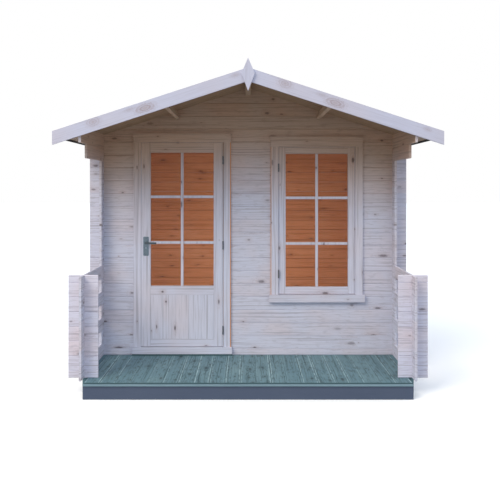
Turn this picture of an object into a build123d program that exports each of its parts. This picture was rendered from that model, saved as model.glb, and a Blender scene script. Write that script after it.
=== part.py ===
"""Garden log cabin with a veranda, a half-glazed door that opens outward and a casement window.

Millimetres, +Z up. The pieces are first drawn with Y = 0 on the front wall's outer face, Y growing
into the room, and Z = 0 on top of the deck. They are written out with the origin on the ground, under
the middle of the whole cabin.
"""

from build123d import *
import math
import os

# Logs
LOG_HEIGHT = 114.0
LOG_THICKNESS = 19.0
LOG_CHAMFER = 4.0
LOG_GAP = 0.4
CROSSING_REACH = 105.0
NECK_SHARE = 0.5

# Room
ROOM_WIDTH = 2583.0
ROOM_DEPTH = 2300.0
EAVES_LOG_COUNT = 2
COURSE_ROUNDING_SHARE = 0.01

# Veranda
VERANDA_DEPTH = 766.0
EAVES_LOG_SETBACK = 96.0
RAIL_LEVELS = 7
CROSS_LOG_INNER_REACH = 106.0
CORNER_BLOCK_INNER_REACH = 105.0

# Base
BASE_HEIGHT = 119.0
BEARER_WIDTH = 44.0
BOARD_THICKNESS = 19.0
DECK_LEAD = 77.5
DECK_OVERHANG = 10.0
JOIST_COUNT = 4
FLOOR_GAP = 0.5

# Roof
ROOF_PITCH = 18.0
ROOF_BOARD = 19.0
FELT = 3.0
FELT_DRIP = 28.0
RIDGE_FELT_HALF = 150.0
EAVES_OVERHANG = 194.5
ROOF_LEAD = 17.0
ROOF_BACK_RUN = 180.0
BARGE_THICKNESS = 19.0
BARGE_WIDTH = 98.0
BARGE_UPSTAND = 9.5
RIDGE_WIDTH = 44.0
RIDGE_DEPTH = 65.7
PURLIN_WIDTH = 28.0
PURLIN_DEPTH = 70.0
PURLIN_OFFSET = 640.0
FINIAL_WIDTH = 102.0
FINIAL_HEIGHT = 251.0
FINIAL_RISE = 71.0
FINIAL_SHOULDER_SHARE = 0.53

# Fits
SEAT_GAP = 0.3
MOVING_GAP = 5.0
OVERRUN = 20.0

# Door
DOOR_LEFT = -938.0
DOOR_WIDTH = 715.0
DOOR_BOTTOM = 79.0
DOOR_HEIGHT = 1791.0
DOOR_THICKNESS = 40.0
STILE_WIDTH = 79.0
TOP_RAIL = 84.0
MIDDLE_RAIL = 79.0
BOTTOM_RAIL = 66.0
PANEL_HEIGHT = 387.0
PANEL_THICKNESS = 14.0
GLASS_THICKNESS = 4.0
GROOVE_DEPTH = 9.0
GROOVE_GAP = 0.4

# Frames of the door and the window
TRIM_WIDTH = 66.0
TRIM_THICKNESS = 19.0
LINING_THICKNESS = 30.0
HEAD_LINING = 6.0
STOP_WIDTH = 14.0
STOP_THICKNESS = 12.0
DOOR_HEAD_TRIM = 37.0
DOOR_DRIP_BOARD = 43.0
DRIP_BOARD_THICKNESS = 25.0
DRIP_BOARD_REACH = 6.0
THRESHOLD_THICKNESS = 32.0
THRESHOLD_REACH = 10.0

# Door hinges
HINGE_HEIGHT = 73.0
HINGE_PLATE = 1.4
HINGE_PLATE_DEPTH = 30.0
HINGE_RADIUS = 5.6
HINGE_PIN_RADIUS = 3.0
HINGE_PIN_GAP = 0.3
HINGE_PIN_SIDES = 12
HINGE_STANDOFF = 6.2
HINGE_HEIGHT_SHARES = (0.08, 0.497, 0.915)

# Door handle
HANDLE_PLATE_WIDTH = 48.0
HANDLE_PLATE_HEIGHT = 168.0
HANDLE_PLATE_THICKNESS = 3.0
HANDLE_PLATE_ROUND = 8.0
HANDLE_PLATE_BOTTOM = 877.0
SPINDLE_DROP = 55.0
SPINDLE_SIDE = 8.0
BORE_SIDES = 24
KEYHOLE_SIDES = 10
LEVER_NECK_RADIUS = 9.0
LEVER_NECK_LENGTH = 34.0
LEVER_LENGTH = 96.0
LEVER_HEIGHT = 17.0
LEVER_THICKNESS = 11.0
LEVER_SOCKET = 16.0
KEYHOLE_RADIUS = 3.2
KEYHOLE_DROP = 43.0
KEYHOLE_SLOT_HEIGHT = 9.0
KEYHOLE_SLOT_WIDTH = 3.4

# Window
WINDOW_LEFT = 271.0
WINDOW_WIDTH = 668.0
WINDOW_HEIGHT = 1292.0
WINDOW_HEAD_DROP = 38.0
SASH_THICKNESS = 30.0
SASH_STILE = 58.5
SASH_TOP_RAIL = 56.0
SASH_BOTTOM_RAIL = 62.0
SILL_HEIGHT = 66.0
SILL_REACH = 16.0
SILL_THICKNESS = 34.0
SILL_LINING_LEAST = 3.0
WINDOW_HEAD_TRIM = 59.0
WINDOW_DRIP_BOARD = 29.0
WINDOW_HINGE_SHARES = (0.137, 0.861)

# Places worked out from the sizes above
HALF_LOG = LOG_HEIGHT / 2
PITCH_TAN = math.tan(math.radians(ROOF_PITCH))
PITCH_COS = math.cos(math.radians(ROOF_PITCH))
PITCH_SIN = math.sin(math.radians(ROOF_PITCH))
WALL_OUT = ROOM_WIDTH / 2
WALL_IN = WALL_OUT - LOG_THICKNESS
LOG_END = WALL_OUT + CROSSING_REACH
BACK_OUT = ROOM_DEPTH
BACK_IN = BACK_OUT - LOG_THICKNESS
BACK_END = BACK_OUT + CROSSING_REACH
CROSS_FRONT = -VERANDA_DEPTH
CROSS_BACK = CROSS_FRONT + LOG_THICKNESS
RAIL_FRONT = CROSS_FRONT - CROSSING_REACH
EAVES_LOG_FRONT = CROSS_FRONT + EAVES_LOG_SETBACK
DECK_FRONT = RAIL_FRONT - DECK_LEAD
DECK_HALF = WALL_OUT - BEARER_WIDTH - FLOOR_GAP
DOOR_RIGHT = DOOR_LEFT + DOOR_WIDTH
DOOR_TOP = DOOR_BOTTOM + DOOR_HEIGHT
FRAME_TOP_LEVEL = DOOR_TOP + MOVING_GAP + HEAD_LINING
COURSE_COUNT = math.floor((FRAME_TOP_LEVEL - HALF_LOG) / LOG_HEIGHT + COURSE_ROUNDING_SHARE)
SIDE_LOG_COUNT = COURSE_COUNT + 1
STACK_SHIFT = FRAME_TOP_LEVEL - HALF_LOG - COURSE_COUNT * LOG_HEIGHT
BALUSTRADE_TOP = STACK_SHIFT + RAIL_LEVELS * LOG_HEIGHT
GABLE_BOTTOM = FRAME_TOP_LEVEL
EAVES_TOP = FRAME_TOP_LEVEL + HALF_LOG
ROOF_APEX = EAVES_TOP + WALL_OUT * PITCH_TAN
ROOF_HALF_WIDTH = WALL_OUT + EAVES_OVERHANG
ROOF_FRONT = RAIL_FRONT - ROOF_LEAD
ROOF_BACK = BACK_OUT + ROOF_BACK_RUN
FINIAL_TOP = ROOF_APEX + (ROOF_BOARD + FELT) / PITCH_COS + BARGE_UPSTAND + FINIAL_RISE
FRAME_FRONT = -TRIM_THICKNESS
FRAME_BACK = LOG_THICKNESS + TRIM_THICKNESS
DOOR_BACK = FRAME_FRONT + DOOR_THICKNESS
HINGE_X = DOOR_RIGHT + MOVING_GAP / 2
HINGE_Y = FRAME_FRONT - HINGE_STANDOFF
SPINDLE_X = DOOR_LEFT + STILE_WIDTH / 2
SPINDLE_Z = HANDLE_PLATE_BOTTOM + HANDLE_PLATE_HEIGHT - SPINDLE_DROP
GLASS_BOTTOM = DOOR_BOTTOM + BOTTOM_RAIL + PANEL_HEIGHT + MIDDLE_RAIL
WINDOW_RIGHT = WINDOW_LEFT + WINDOW_WIDTH
WINDOW_TOP = DOOR_TOP - WINDOW_HEAD_DROP
WINDOW_BOTTOM = WINDOW_TOP - WINDOW_HEIGHT
SASH_FRONT = FRAME_FRONT + (TRIM_THICKNESS + FRAME_BACK) / 2 - SASH_THICKNESS / 2
DOOR_CUT_LEFT = DOOR_LEFT - MOVING_GAP - LINING_THICKNESS
DOOR_CUT_RIGHT = DOOR_RIGHT + MOVING_GAP + LINING_THICKNESS
WINDOW_CUT_LEFT = WINDOW_LEFT - MOVING_GAP - LINING_THICKNESS
WINDOW_CUT_RIGHT = WINDOW_RIGHT + MOVING_GAP + LINING_THICKNESS
CROSS_START = STACK_SHIFT - HALF_LOG
COURSES_UNDER_SILL = math.floor((WINDOW_BOTTOM - MOVING_GAP - SILL_LINING_LEAST - CROSS_START) / LOG_HEIGHT)
SILL_LEVEL = CROSS_START + COURSES_UNDER_SILL * LOG_HEIGHT
FINIAL_FRONT = ROOF_FRONT - BARGE_THICKNESS - BARGE_THICKNESS
FINIAL_BACK = ROOF_BACK + BARGE_THICKNESS + BARGE_THICKNESS
MIDDLE_Y = (min(DECK_FRONT, FINIAL_FRONT, RAIL_FRONT) + max(FINIAL_BACK, BACK_END)) / 2


def block(x_low, x_high, y_low, y_high, z_low, z_high):
    """A plain rectangular piece between two corners."""
    middle = Pos((x_low + x_high) / 2, (y_low + y_high) / 2, (z_low + z_high) / 2)
    return middle * Box(x_high - x_low, y_high - y_low, z_high - z_low)


def roof_under(x):
    """Height of the roof boards' underside at a distance from the ridge."""
    return ROOF_APEX - abs(x) * PITCH_TAN


def along_x(points, x_low, x_high):
    """Extrude an outline of (y, z) points along X."""
    plane = Plane(origin=(x_low, 0, 0), x_dir=(0, 1, 0), z_dir=(1, 0, 0))
    return extrude(plane * Polygon(*points, align=None), amount=x_high - x_low, dir=(1, 0, 0))


def along_y(points, y_low, y_high):
    """Extrude an outline of (x, z) points along Y."""
    plane = Plane(origin=(0, y_low, 0), x_dir=(1, 0, 0), z_dir=(0, -1, 0))
    return extrude(plane * Polygon(*points, align=None), amount=y_high - y_low, dir=(0, 1, 0))


def along_z(points, z_low, z_high):
    """Extrude an outline of (x, y) points along Z."""
    plane = Plane(origin=(0, 0, z_low), x_dir=(1, 0, 0), z_dir=(0, 0, 1))
    return extrude(plane * Polygon(*points, align=None), amount=z_high - z_low, dir=(0, 0, 1))


def log_outline(face, low, high):
    """A log's cross section, from its outer face back, with its four long edges chamfered."""
    back = face + LOG_THICKNESS
    return [
        (face + LOG_CHAMFER, low),
        (back - LOG_CHAMFER, low),
        (back, low + LOG_CHAMFER),
        (back, high - LOG_CHAMFER),
        (back - LOG_CHAMFER, high),
        (face + LOG_CHAMFER, high),
        (face, high - LOG_CHAMFER),
        (face, low + LOG_CHAMFER),
    ]


def neck_limits(level):
    """Lower and upper edge of the neck that a log keeps where another log crosses it."""
    cut = LOG_HEIGHT * (1 - NECK_SHARE) / 2
    return level + cut + LOG_GAP / 2, level + LOG_HEIGHT - cut - LOG_GAP / 2


def notch_x(log, level, low, high, cross_low, face):
    """Cut the notches above and below a log's neck, where a log along Y crosses at cross_low."""
    neck_low, neck_high = neck_limits(level)
    x_low = cross_low - SEAT_GAP
    x_high = cross_low + LOG_THICKNESS + SEAT_GAP
    y_low = face - OVERRUN
    y_high = face + LOG_THICKNESS + OVERRUN
    if neck_low > low:
        log -= block(x_low, x_high, y_low, y_high, low - OVERRUN, neck_low)
    if neck_high < high:
        log -= block(x_low, x_high, y_low, y_high, neck_high, high + OVERRUN)
    return log


def notch_y(log, level, low, high, cross_low, face):
    """Cut the notches above and below a log's neck, where a log along X crosses at cross_low."""
    neck_low, neck_high = neck_limits(level)
    y_low = cross_low - SEAT_GAP
    y_high = cross_low + LOG_THICKNESS + SEAT_GAP
    x_low = face - OVERRUN
    x_high = face + LOG_THICKNESS + OVERRUN
    if neck_low > low:
        log -= block(x_low, x_high, y_low, y_high, low - OVERRUN, neck_low)
    if neck_high < high:
        log -= block(x_low, x_high, y_low, y_high, neck_high, high + OVERRUN)
    return log


def levels_between(bottom, top):
    """Levels of the logs along X that fill a height."""
    count = math.ceil((top - CROSS_START) / LOG_HEIGHT)
    levels = [CROSS_START + step * LOG_HEIGHT for step in range(count)]
    return [level for level in levels if level + LOG_HEIGHT > bottom + LOG_GAP and level < top - LOG_GAP]


def cross_stack(x_low, x_high, face, bottom, top, crossings):
    """Logs along X that stand on each other, half a log lower than the side walls' logs."""
    logs = []
    levels = levels_between(bottom, top)
    for level in levels:
        low = (bottom if level == levels[0] else level) + LOG_GAP / 2
        high = min(level + LOG_HEIGHT, top) - LOG_GAP / 2
        log = along_x(log_outline(face, low, high), x_low, x_high)
        for cross_low in crossings:
            log = notch_x(log, level, low, high, cross_low, face)
        logs.append(log)
    return logs


def side_level(step):
    """The level at which a side wall's log counts as starting."""
    return STACK_SHIFT + step * LOG_HEIGHT


def side_log(step, y_low, y_high, crossings):
    """One log of the right side wall, notched where the logs along X cross it."""
    level = side_level(step)
    low = (level if step else 0) + LOG_GAP / 2
    high = level + LOG_HEIGHT - LOG_GAP / 2
    log = along_y(log_outline(WALL_IN, low, high), y_low, y_high)
    for cross_low in crossings:
        log = notch_y(log, level, low, high, cross_low, WALL_IN)
    return log


def mirrored(pieces):
    """The same pieces on the left side."""
    return [mirror(piece, about=Plane.YZ) for piece in pieces]


def foundation_bearers():
    """Side bearers from the veranda corners to the back, and cross joists with the front and back bearers."""
    side = block(WALL_OUT - BEARER_WIDTH, WALL_OUT, CROSS_BACK, BACK_OUT, -BASE_HEIGHT, 0)
    pieces = [side] + mirrored([side])
    top = -BOARD_THICKNESS - SEAT_GAP
    front = DECK_FRONT + DECK_OVERHANG
    room_start = (LOG_THICKNESS - BEARER_WIDTH) / 2
    room_end = BACK_OUT - BEARER_WIDTH
    places = [front, (front + room_start) / 2]
    places += [room_start + (room_end - room_start) * step / JOIST_COUNT for step in range(JOIST_COUNT + 1)]
    for place in places:
        pieces.append(block(-DECK_HALF, DECK_HALF, place, place + BEARER_WIDTH, -BASE_HEIGHT, top))
    return pieces


def veranda_deck():
    """The deck in front of the door, running back under the front wall."""
    return [block(-DECK_HALF, DECK_HALF, DECK_FRONT, LOG_THICKNESS, -BOARD_THICKNESS, 0)]


def room_floor():
    """The floor inside, running back under the back wall."""
    return [block(-DECK_HALF, DECK_HALF, LOG_THICKNESS + FLOOR_GAP, BACK_OUT, -BOARD_THICKNESS, 0)]


def front_wall_left():
    """Logs from the left corner to the door."""
    return cross_stack(-LOG_END, DOOR_CUT_LEFT, 0, 0, FRAME_TOP_LEVEL, [-WALL_OUT])


def front_wall_below_window():
    """Logs from the door to the right corner, up to the window."""
    return cross_stack(DOOR_CUT_RIGHT, LOG_END, 0, 0, SILL_LEVEL, [WALL_IN])


def front_wall_middle():
    """Logs between the door and the window."""
    return cross_stack(DOOR_CUT_RIGHT, WINDOW_CUT_LEFT, 0, SILL_LEVEL, FRAME_TOP_LEVEL, [])


def front_wall_right():
    """Logs from the window to the right corner."""
    return cross_stack(WINDOW_CUT_RIGHT, LOG_END, 0, SILL_LEVEL, FRAME_TOP_LEVEL, [WALL_IN])


def purlin_outline(x, gap):
    """A side purlin's section, set square to the roof's slope, with a gap all round."""
    side = math.copysign(1, x)
    down_slope = Vector(side * PITCH_COS, -PITCH_SIN)
    inward = Vector(-side * PITCH_SIN, -PITCH_COS)
    top = Vector(x, roof_under(x)) + inward * SEAT_GAP
    half = down_slope * (PURLIN_WIDTH / 2 + gap)
    upper = top - inward * gap
    lower = top + inward * (PURLIN_DEPTH + gap)
    corners = [upper - half, upper + half, lower + half, lower - half]
    return [(corner.X, corner.Y) for corner in corners]


def ridge_outline(gap):
    """The ridge purlin's section, bevelled to both slopes, with a gap round it."""
    half = RIDGE_WIDTH / 2 + gap
    bottom = ROOF_APEX - RIDGE_DEPTH - gap
    top = SEAT_GAP - gap
    return [
        (-half, bottom),
        (half, bottom),
        (half, roof_under(half) - top),
        (0, ROOF_APEX - top),
        (-half, roof_under(half) - top),
    ]


def gable(face):
    """A gable: one interlocking log, and over it a grooved panel cut for the purlins."""
    level = GABLE_BOTTOM
    low = level + LOG_GAP / 2
    high = level + LOG_HEIGHT - LOG_GAP / 2
    under = [
        (-LOG_END, low - OVERRUN),
        (LOG_END, low - OVERRUN),
        (LOG_END, roof_under(LOG_END) - SEAT_GAP),
        (0, ROOF_APEX - SEAT_GAP),
        (-LOG_END, roof_under(LOG_END) - SEAT_GAP),
    ]
    roof_space = along_y(under, face - OVERRUN, face + LOG_THICKNESS + OVERRUN)
    first = along_x(log_outline(face, low, high), -LOG_END, LOG_END)
    for cross_low in (-WALL_OUT, WALL_IN):
        first = notch_x(first, level, low, high, cross_low, face)
    first = first & roof_space

    base = level + LOG_HEIGHT + LOG_GAP / 2
    reach = (ROOF_APEX - base) / PITCH_TAN
    back = face + LOG_THICKNESS
    grooves = [base]
    while grooves[-1] + LOG_HEIGHT < ROOF_APEX - RIDGE_DEPTH:
        grooves.append(grooves[-1] + LOG_HEIGHT)
    front_edge = [(face, ROOF_APEX)]
    back_edge = [(back, ROOF_APEX)]
    for groove in reversed(grooves):
        front_edge += [(face, groove + LOG_CHAMFER), (face + LOG_CHAMFER, groove)]
        back_edge += [(back, groove + LOG_CHAMFER), (back - LOG_CHAMFER, groove)]
        if groove > base:
            front_edge.append((face, groove - LOG_CHAMFER))
            back_edge.append((back, groove - LOG_CHAMFER))
    panel = along_x(front_edge + list(reversed(back_edge)), -reach, reach) & roof_space
    pieces = []
    for piece in (first, panel):
        for outline in (
            ridge_outline(SEAT_GAP),
            purlin_outline(PURLIN_OFFSET, SEAT_GAP),
            purlin_outline(-PURLIN_OFFSET, SEAT_GAP),
        ):
            piece = piece - along_y(outline, face - OVERRUN, back + OVERRUN)
        pieces.append(piece)
    return pieces


def back_wall():
    """The plain back wall, as long as the front one."""
    return cross_stack(-LOG_END, LOG_END, BACK_IN, 0, GABLE_BOTTOM, [-WALL_OUT, WALL_IN])


def right_wall():
    """The right wall's logs between the long logs, and those above them up to the eaves logs."""
    steps = range(SIDE_LOG_COUNT - EAVES_LOG_COUNT)
    short = [step for step in steps if step >= RAIL_LEVELS or step % 2 == 1]
    return [side_log(step, -CROSSING_REACH, BACK_END, [0, BACK_IN]) for step in short]


def right_rail_logs():
    """The long logs that run from the back wall out into the balustrade, as its rails."""
    steps = range(0, RAIL_LEVELS, 2)
    return [side_log(step, RAIL_FRONT, BACK_END, [CROSS_FRONT, 0, BACK_IN]) for step in steps]


def right_corner_blocks():
    """Short blocks that keep the rails apart at the balustrade's front corner."""
    back = CROSS_BACK + CORNER_BLOCK_INNER_REACH
    return [side_log(step, RAIL_FRONT, back, [CROSS_FRONT]) for step in range(1, RAIL_LEVELS, 2)]


def right_cross_logs():
    """The stack of short logs across the balustrade's front end."""
    inner = WALL_IN - CROSS_LOG_INNER_REACH
    return cross_stack(inner, LOG_END, CROSS_FRONT, 0, BALUSTRADE_TOP, [WALL_IN])


def right_eaves_logs():
    """The two top logs, which run out over the veranda, the upper one bevelled under the roof."""
    pieces = []
    for step in range(SIDE_LOG_COUNT - EAVES_LOG_COUNT, SIDE_LOG_COUNT):
        level = side_level(step)
        low = level + LOG_GAP / 2
        high = level + LOG_HEIGHT - LOG_GAP / 2
        outline = log_outline(WALL_IN, low, high)
        if step == SIDE_LOG_COUNT - 1:
            outline = outline[:3] + [
                (WALL_OUT, roof_under(WALL_OUT) - SEAT_GAP),
                (WALL_IN, roof_under(WALL_IN) - SEAT_GAP),
                (WALL_IN, low + LOG_CHAMFER),
            ]
            high = roof_under(WALL_IN)
        log = along_y(outline, EAVES_LOG_FRONT, BACK_END)
        for cross_low in (0, BACK_IN):
            log = notch_y(log, level, low, high, cross_low, WALL_IN)
        pieces.append(log)
    return pieces


def slope_outline(lower, upper, inner, outer):
    """A layer of the right roof slope, between two heights above the boards' underside."""
    return [
        (inner, roof_under(inner) + lower),
        (outer, roof_under(outer) + lower),
        (outer, roof_under(outer) + upper),
        (inner, roof_under(inner) + upper),
    ]


def right_roof_boards():
    """The roof's boarding on the right slope."""
    outline = slope_outline(0, ROOF_BOARD / PITCH_COS, SEAT_GAP, ROOF_HALF_WIDTH)
    return [along_y(outline, ROOF_FRONT, ROOF_BACK)]


def right_roof_felt():
    """The felt on the right slope, turned down over the eaves."""
    lower = ROOF_BOARD / PITCH_COS + SEAT_GAP
    upper = lower + FELT / PITCH_COS
    edge = ROOF_HALF_WIDTH + SEAT_GAP
    outer = edge + FELT
    drip = roof_under(edge) + upper - FELT_DRIP
    outline = [
        (SEAT_GAP, roof_under(SEAT_GAP) + lower),
        (edge, roof_under(edge) + lower),
        (edge, drip),
        (outer, drip),
        (outer, roof_under(outer) + upper),
        (SEAT_GAP, roof_under(SEAT_GAP) + upper),
    ]
    return [along_y(outline, ROOF_FRONT, ROOF_BACK)]


def ridge_felt():
    """A strip of felt folded over the ridge, lapping the felt of both slopes."""
    lower = (ROOF_BOARD + FELT) / PITCH_COS + SEAT_GAP + SEAT_GAP
    upper = lower + FELT / PITCH_COS
    edge = roof_under(RIDGE_FELT_HALF)
    outline = [
        (-RIDGE_FELT_HALF, edge + lower),
        (0, ROOF_APEX + lower),
        (RIDGE_FELT_HALF, edge + lower),
        (RIDGE_FELT_HALF, edge + upper),
        (0, ROOF_APEX + upper),
        (-RIDGE_FELT_HALF, edge + upper),
    ]
    return [along_y(outline, ROOF_FRONT, ROOF_BACK)]


def ridge_purlin():
    """The beam under the ridge."""
    return [along_y(ridge_outline(0), ROOF_FRONT, ROOF_BACK)]


def side_purlins():
    """The beams halfway down each slope."""
    places = (-PURLIN_OFFSET, PURLIN_OFFSET)
    return [along_y(purlin_outline(place, 0), ROOF_FRONT, ROOF_BACK) for place in places]


def right_bargeboard(y_low):
    """A bargeboard on the right slope, cut plumb at the ridge and at the eaves."""
    top = (ROOF_BOARD + FELT) / PITCH_COS + BARGE_UPSTAND
    bottom = top - BARGE_WIDTH / PITCH_COS
    outline = slope_outline(bottom, top, SEAT_GAP, ROOF_HALF_WIDTH)
    return [along_y(outline, y_low, y_low + BARGE_THICKNESS - SEAT_GAP)]


def finial(y_low):
    """The diamond that covers the joint of two bargeboards."""
    shoulder = FINIAL_TOP - FINIAL_HEIGHT * (1 - FINIAL_SHOULDER_SHARE)
    outline = [
        (0, FINIAL_TOP - FINIAL_HEIGHT),
        (FINIAL_WIDTH / 2, shoulder),
        (0, FINIAL_TOP),
        (-FINIAL_WIDTH / 2, shoulder),
    ]
    return [along_y(outline, y_low, y_low + BARGE_THICKNESS - SEAT_GAP)]


def channel_points(inner, cut, trim_end):
    """Plan of a jamb that clasps the wall's edge: trim outside, lining, trim inside."""
    return [
        (inner, FRAME_FRONT),
        (inner, FRAME_BACK),
        (trim_end, FRAME_BACK),
        (trim_end, LOG_THICKNESS + SEAT_GAP),
        (cut, LOG_THICKNESS + SEAT_GAP),
        (cut, -SEAT_GAP),
        (trim_end, -SEAT_GAP),
        (trim_end, FRAME_FRONT),
    ]


def jamb(inner, outward, z_low, z_high):
    """One upright of a door or window frame. outward is -1 on the left and 1 on the right."""
    cut = inner + outward * (LINING_THICKNESS - SEAT_GAP)
    trim_end = inner + outward * TRIM_WIDTH
    return along_z(channel_points(inner, cut, trim_end), z_low, z_high)


def frame_head(left, right, low, trim_height, drip_height):
    """The top of a door or window frame, with a drip board over its outer trim."""
    trim_left = left - TRIM_WIDTH
    trim_right = right + TRIM_WIDTH
    lining_top = FRAME_TOP_LEVEL - SEAT_GAP
    trim_top = low + trim_height
    section = [
        (FRAME_FRONT, low),
        (FRAME_BACK, low),
        (FRAME_BACK, trim_top),
        (LOG_THICKNESS + SEAT_GAP, trim_top),
        (LOG_THICKNESS + SEAT_GAP, lining_top),
        (-SEAT_GAP, lining_top),
        (-SEAT_GAP, trim_top),
        (FRAME_FRONT, trim_top),
    ]
    head = along_x(section, trim_left, trim_right)
    lining_left = left - LINING_THICKNESS + SEAT_GAP
    lining_right = right + LINING_THICKNESS - SEAT_GAP
    wall = (-SEAT_GAP, LOG_THICKNESS + SEAT_GAP, low - OVERRUN, trim_top + OVERRUN)
    head -= block(trim_left - OVERRUN, lining_left, *wall)
    head -= block(lining_right, trim_right + OVERRUN, *wall)
    drip_low = trim_top + SEAT_GAP
    drip = block(
        trim_left - DRIP_BOARD_REACH,
        trim_right + DRIP_BOARD_REACH,
        -DRIP_BOARD_THICKNESS,
        -SEAT_GAP,
        drip_low,
        drip_low + drip_height,
    )
    return [head, drip]


def frame_foot(left, right, top, low, cut_level, reach, thickness):
    """The bottom of a door or window frame: a board outside, a lining in the wall, a board inside."""
    outer_left = left - TRIM_WIDTH - reach
    outer_right = right + TRIM_WIDTH + reach
    lining_left = left - LINING_THICKNESS + SEAT_GAP
    lining_right = right + LINING_THICKNESS - SEAT_GAP
    outside = block(outer_left, outer_right, -thickness, -SEAT_GAP, low, top)
    lining = block(lining_left, lining_right, -SEAT_GAP, LOG_THICKNESS + SEAT_GAP, cut_level, top)
    inside = block(
        left - TRIM_WIDTH, right + TRIM_WIDTH, LOG_THICKNESS + SEAT_GAP, FRAME_BACK, low, top
    )
    return outside + lining + inside


def door_jambs():
    """The door frame's two uprights, standing on the threshold."""
    low = DOOR_BOTTOM - MOVING_GAP + SEAT_GAP
    high = DOOR_TOP + MOVING_GAP - SEAT_GAP
    return [
        jamb(DOOR_LEFT - MOVING_GAP, -1, low, high),
        jamb(DOOR_RIGHT + MOVING_GAP, 1, low, high),
    ]


def door_head():
    """The door frame's top."""
    return frame_head(
        DOOR_LEFT - MOVING_GAP,
        DOOR_RIGHT + MOVING_GAP,
        DOOR_TOP + MOVING_GAP,
        DOOR_HEAD_TRIM,
        DOOR_DRIP_BOARD,
    )


def door_threshold():
    """The board that the door closes over."""
    return [
        frame_foot(
            DOOR_LEFT - MOVING_GAP,
            DOOR_RIGHT + MOVING_GAP,
            DOOR_BOTTOM - MOVING_GAP,
            SEAT_GAP,
            SEAT_GAP,
            THRESHOLD_REACH,
            THRESHOLD_THICKNESS,
        )
    ]


def door_stops():
    """Strips inside the frame that the closed door stands against."""
    y_low = DOOR_BACK + MOVING_GAP
    y_high = y_low + STOP_THICKNESS
    left = DOOR_LEFT - MOVING_GAP + SEAT_GAP
    right = DOOR_RIGHT + MOVING_GAP - SEAT_GAP
    low = DOOR_BOTTOM - MOVING_GAP + SEAT_GAP
    high = DOOR_TOP + MOVING_GAP - SEAT_GAP
    upright_top = high - STOP_WIDTH - SEAT_GAP
    return [
        block(left, left + STOP_WIDTH, y_low, y_high, low, upright_top),
        block(right - STOP_WIDTH, right, y_low, y_high, low, upright_top),
        block(left, right, y_low, y_high, high - STOP_WIDTH, high),
    ]


def framed(front, back, pieces, groove):
    """Stiles and rails, from (x_low, x_high, z_low, z_high) places, grooved for a pane or panel."""
    made = []
    for x_low, x_high, z_low, z_high in pieces:
        piece = block(x_low, x_high, front, back, z_low, z_high)
        for cut in groove:
            piece = piece - cut
        made.append(piece)
    return made


def pane_places(left, right, low, high, stile, gap):
    """Corners of a pane or panel that stands in grooves, less a gap all round."""
    reach = GROOVE_DEPTH - gap
    return left + stile - reach, right - stile + reach, low - reach, high + reach


def centred(middle, thickness):
    """Front and back of a layer about a middle line."""
    return middle - thickness / 2, middle + thickness / 2


def door_pane(gap):
    """The door's glass, or with no gap the groove that it stands in."""
    places = pane_places(DOOR_LEFT, DOOR_RIGHT, GLASS_BOTTOM, DOOR_TOP - TOP_RAIL, STILE_WIDTH, gap)
    y_low, y_high = centred((FRAME_FRONT + DOOR_BACK) / 2, GLASS_THICKNESS + 2 * (GROOVE_GAP - gap))
    return block(places[0], places[1], y_low, y_high, places[2], places[3])


def door_board(gap):
    """The door's lower panel, or with no gap the groove that it stands in."""
    low = DOOR_BOTTOM + BOTTOM_RAIL
    places = pane_places(DOOR_LEFT, DOOR_RIGHT, low, low + PANEL_HEIGHT, STILE_WIDTH, gap)
    y_low, y_high = centred((FRAME_FRONT + DOOR_BACK) / 2, PANEL_THICKNESS + 2 * (GROOVE_GAP - gap))
    return block(places[0], places[1], y_low, y_high, places[2], places[3])


def door_leaf():
    """Two stiles and three rails, with grooves for the glass and the panel."""
    rail_left = DOOR_LEFT + STILE_WIDTH + LOG_GAP
    rail_right = DOOR_RIGHT - STILE_WIDTH - LOG_GAP
    panel_low = DOOR_BOTTOM + BOTTOM_RAIL
    panel_high = panel_low + PANEL_HEIGHT
    places = [
        (DOOR_LEFT, DOOR_LEFT + STILE_WIDTH, DOOR_BOTTOM, DOOR_TOP),
        (DOOR_RIGHT - STILE_WIDTH, DOOR_RIGHT, DOOR_BOTTOM, DOOR_TOP),
        (rail_left, rail_right, DOOR_BOTTOM, panel_low),
        (rail_left, rail_right, panel_high, GLASS_BOTTOM),
        (rail_left, rail_right, DOOR_TOP - TOP_RAIL, DOOR_TOP),
    ]
    groove = [door_pane(0), door_board(0)]
    pieces = framed(FRAME_FRONT, DOOR_BACK, places, groove)
    bore_radius = LEVER_NECK_RADIUS + SEAT_GAP
    bore = spindle_bore(FRAME_FRONT - OVERRUN, DOOR_BACK + OVERRUN, bore_radius, BORE_SIDES)
    return [pieces[0] - bore] + pieces[1:]


def door_panel():
    """The boarded panel in the door's lower half."""
    return [door_board(GROOVE_GAP)]


def door_glass():
    """The glass in the door's upper half."""
    return [door_pane(GROOVE_GAP)]


def hinge_levels(low, height, shares):
    """Bottom edges of the hinges on a leaf."""
    return [low + height * share - HINGE_HEIGHT / 2 for share in shares]


def upright_bar(x, y, radius, z_low, z_high):
    """A round upright bar."""
    return Pos(x, y, (z_low + z_high) / 2) * Cylinder(radius, z_high - z_low)


def pin_bar(x, y, radius, hole, z_low, z_high):
    """A hinge pin with flats along it, or the hole that clears it."""
    outline = RegularPolygon(radius, HINGE_PIN_SIDES, major_radius=not hole)
    return extrude(Plane(origin=(x, y, z_low)) * outline, amount=z_high - z_low, dir=(0, 0, 1))


def hinge_plate(x_low, x_high, axis_y, z_low, z_high):
    """A hinge half's flat plate, from its knuckle back into the gap beside the leaf."""
    return block(x_low, x_high, axis_y, axis_y + HINGE_STANDOFF + HINGE_PLATE_DEPTH, z_low, z_high)


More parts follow.
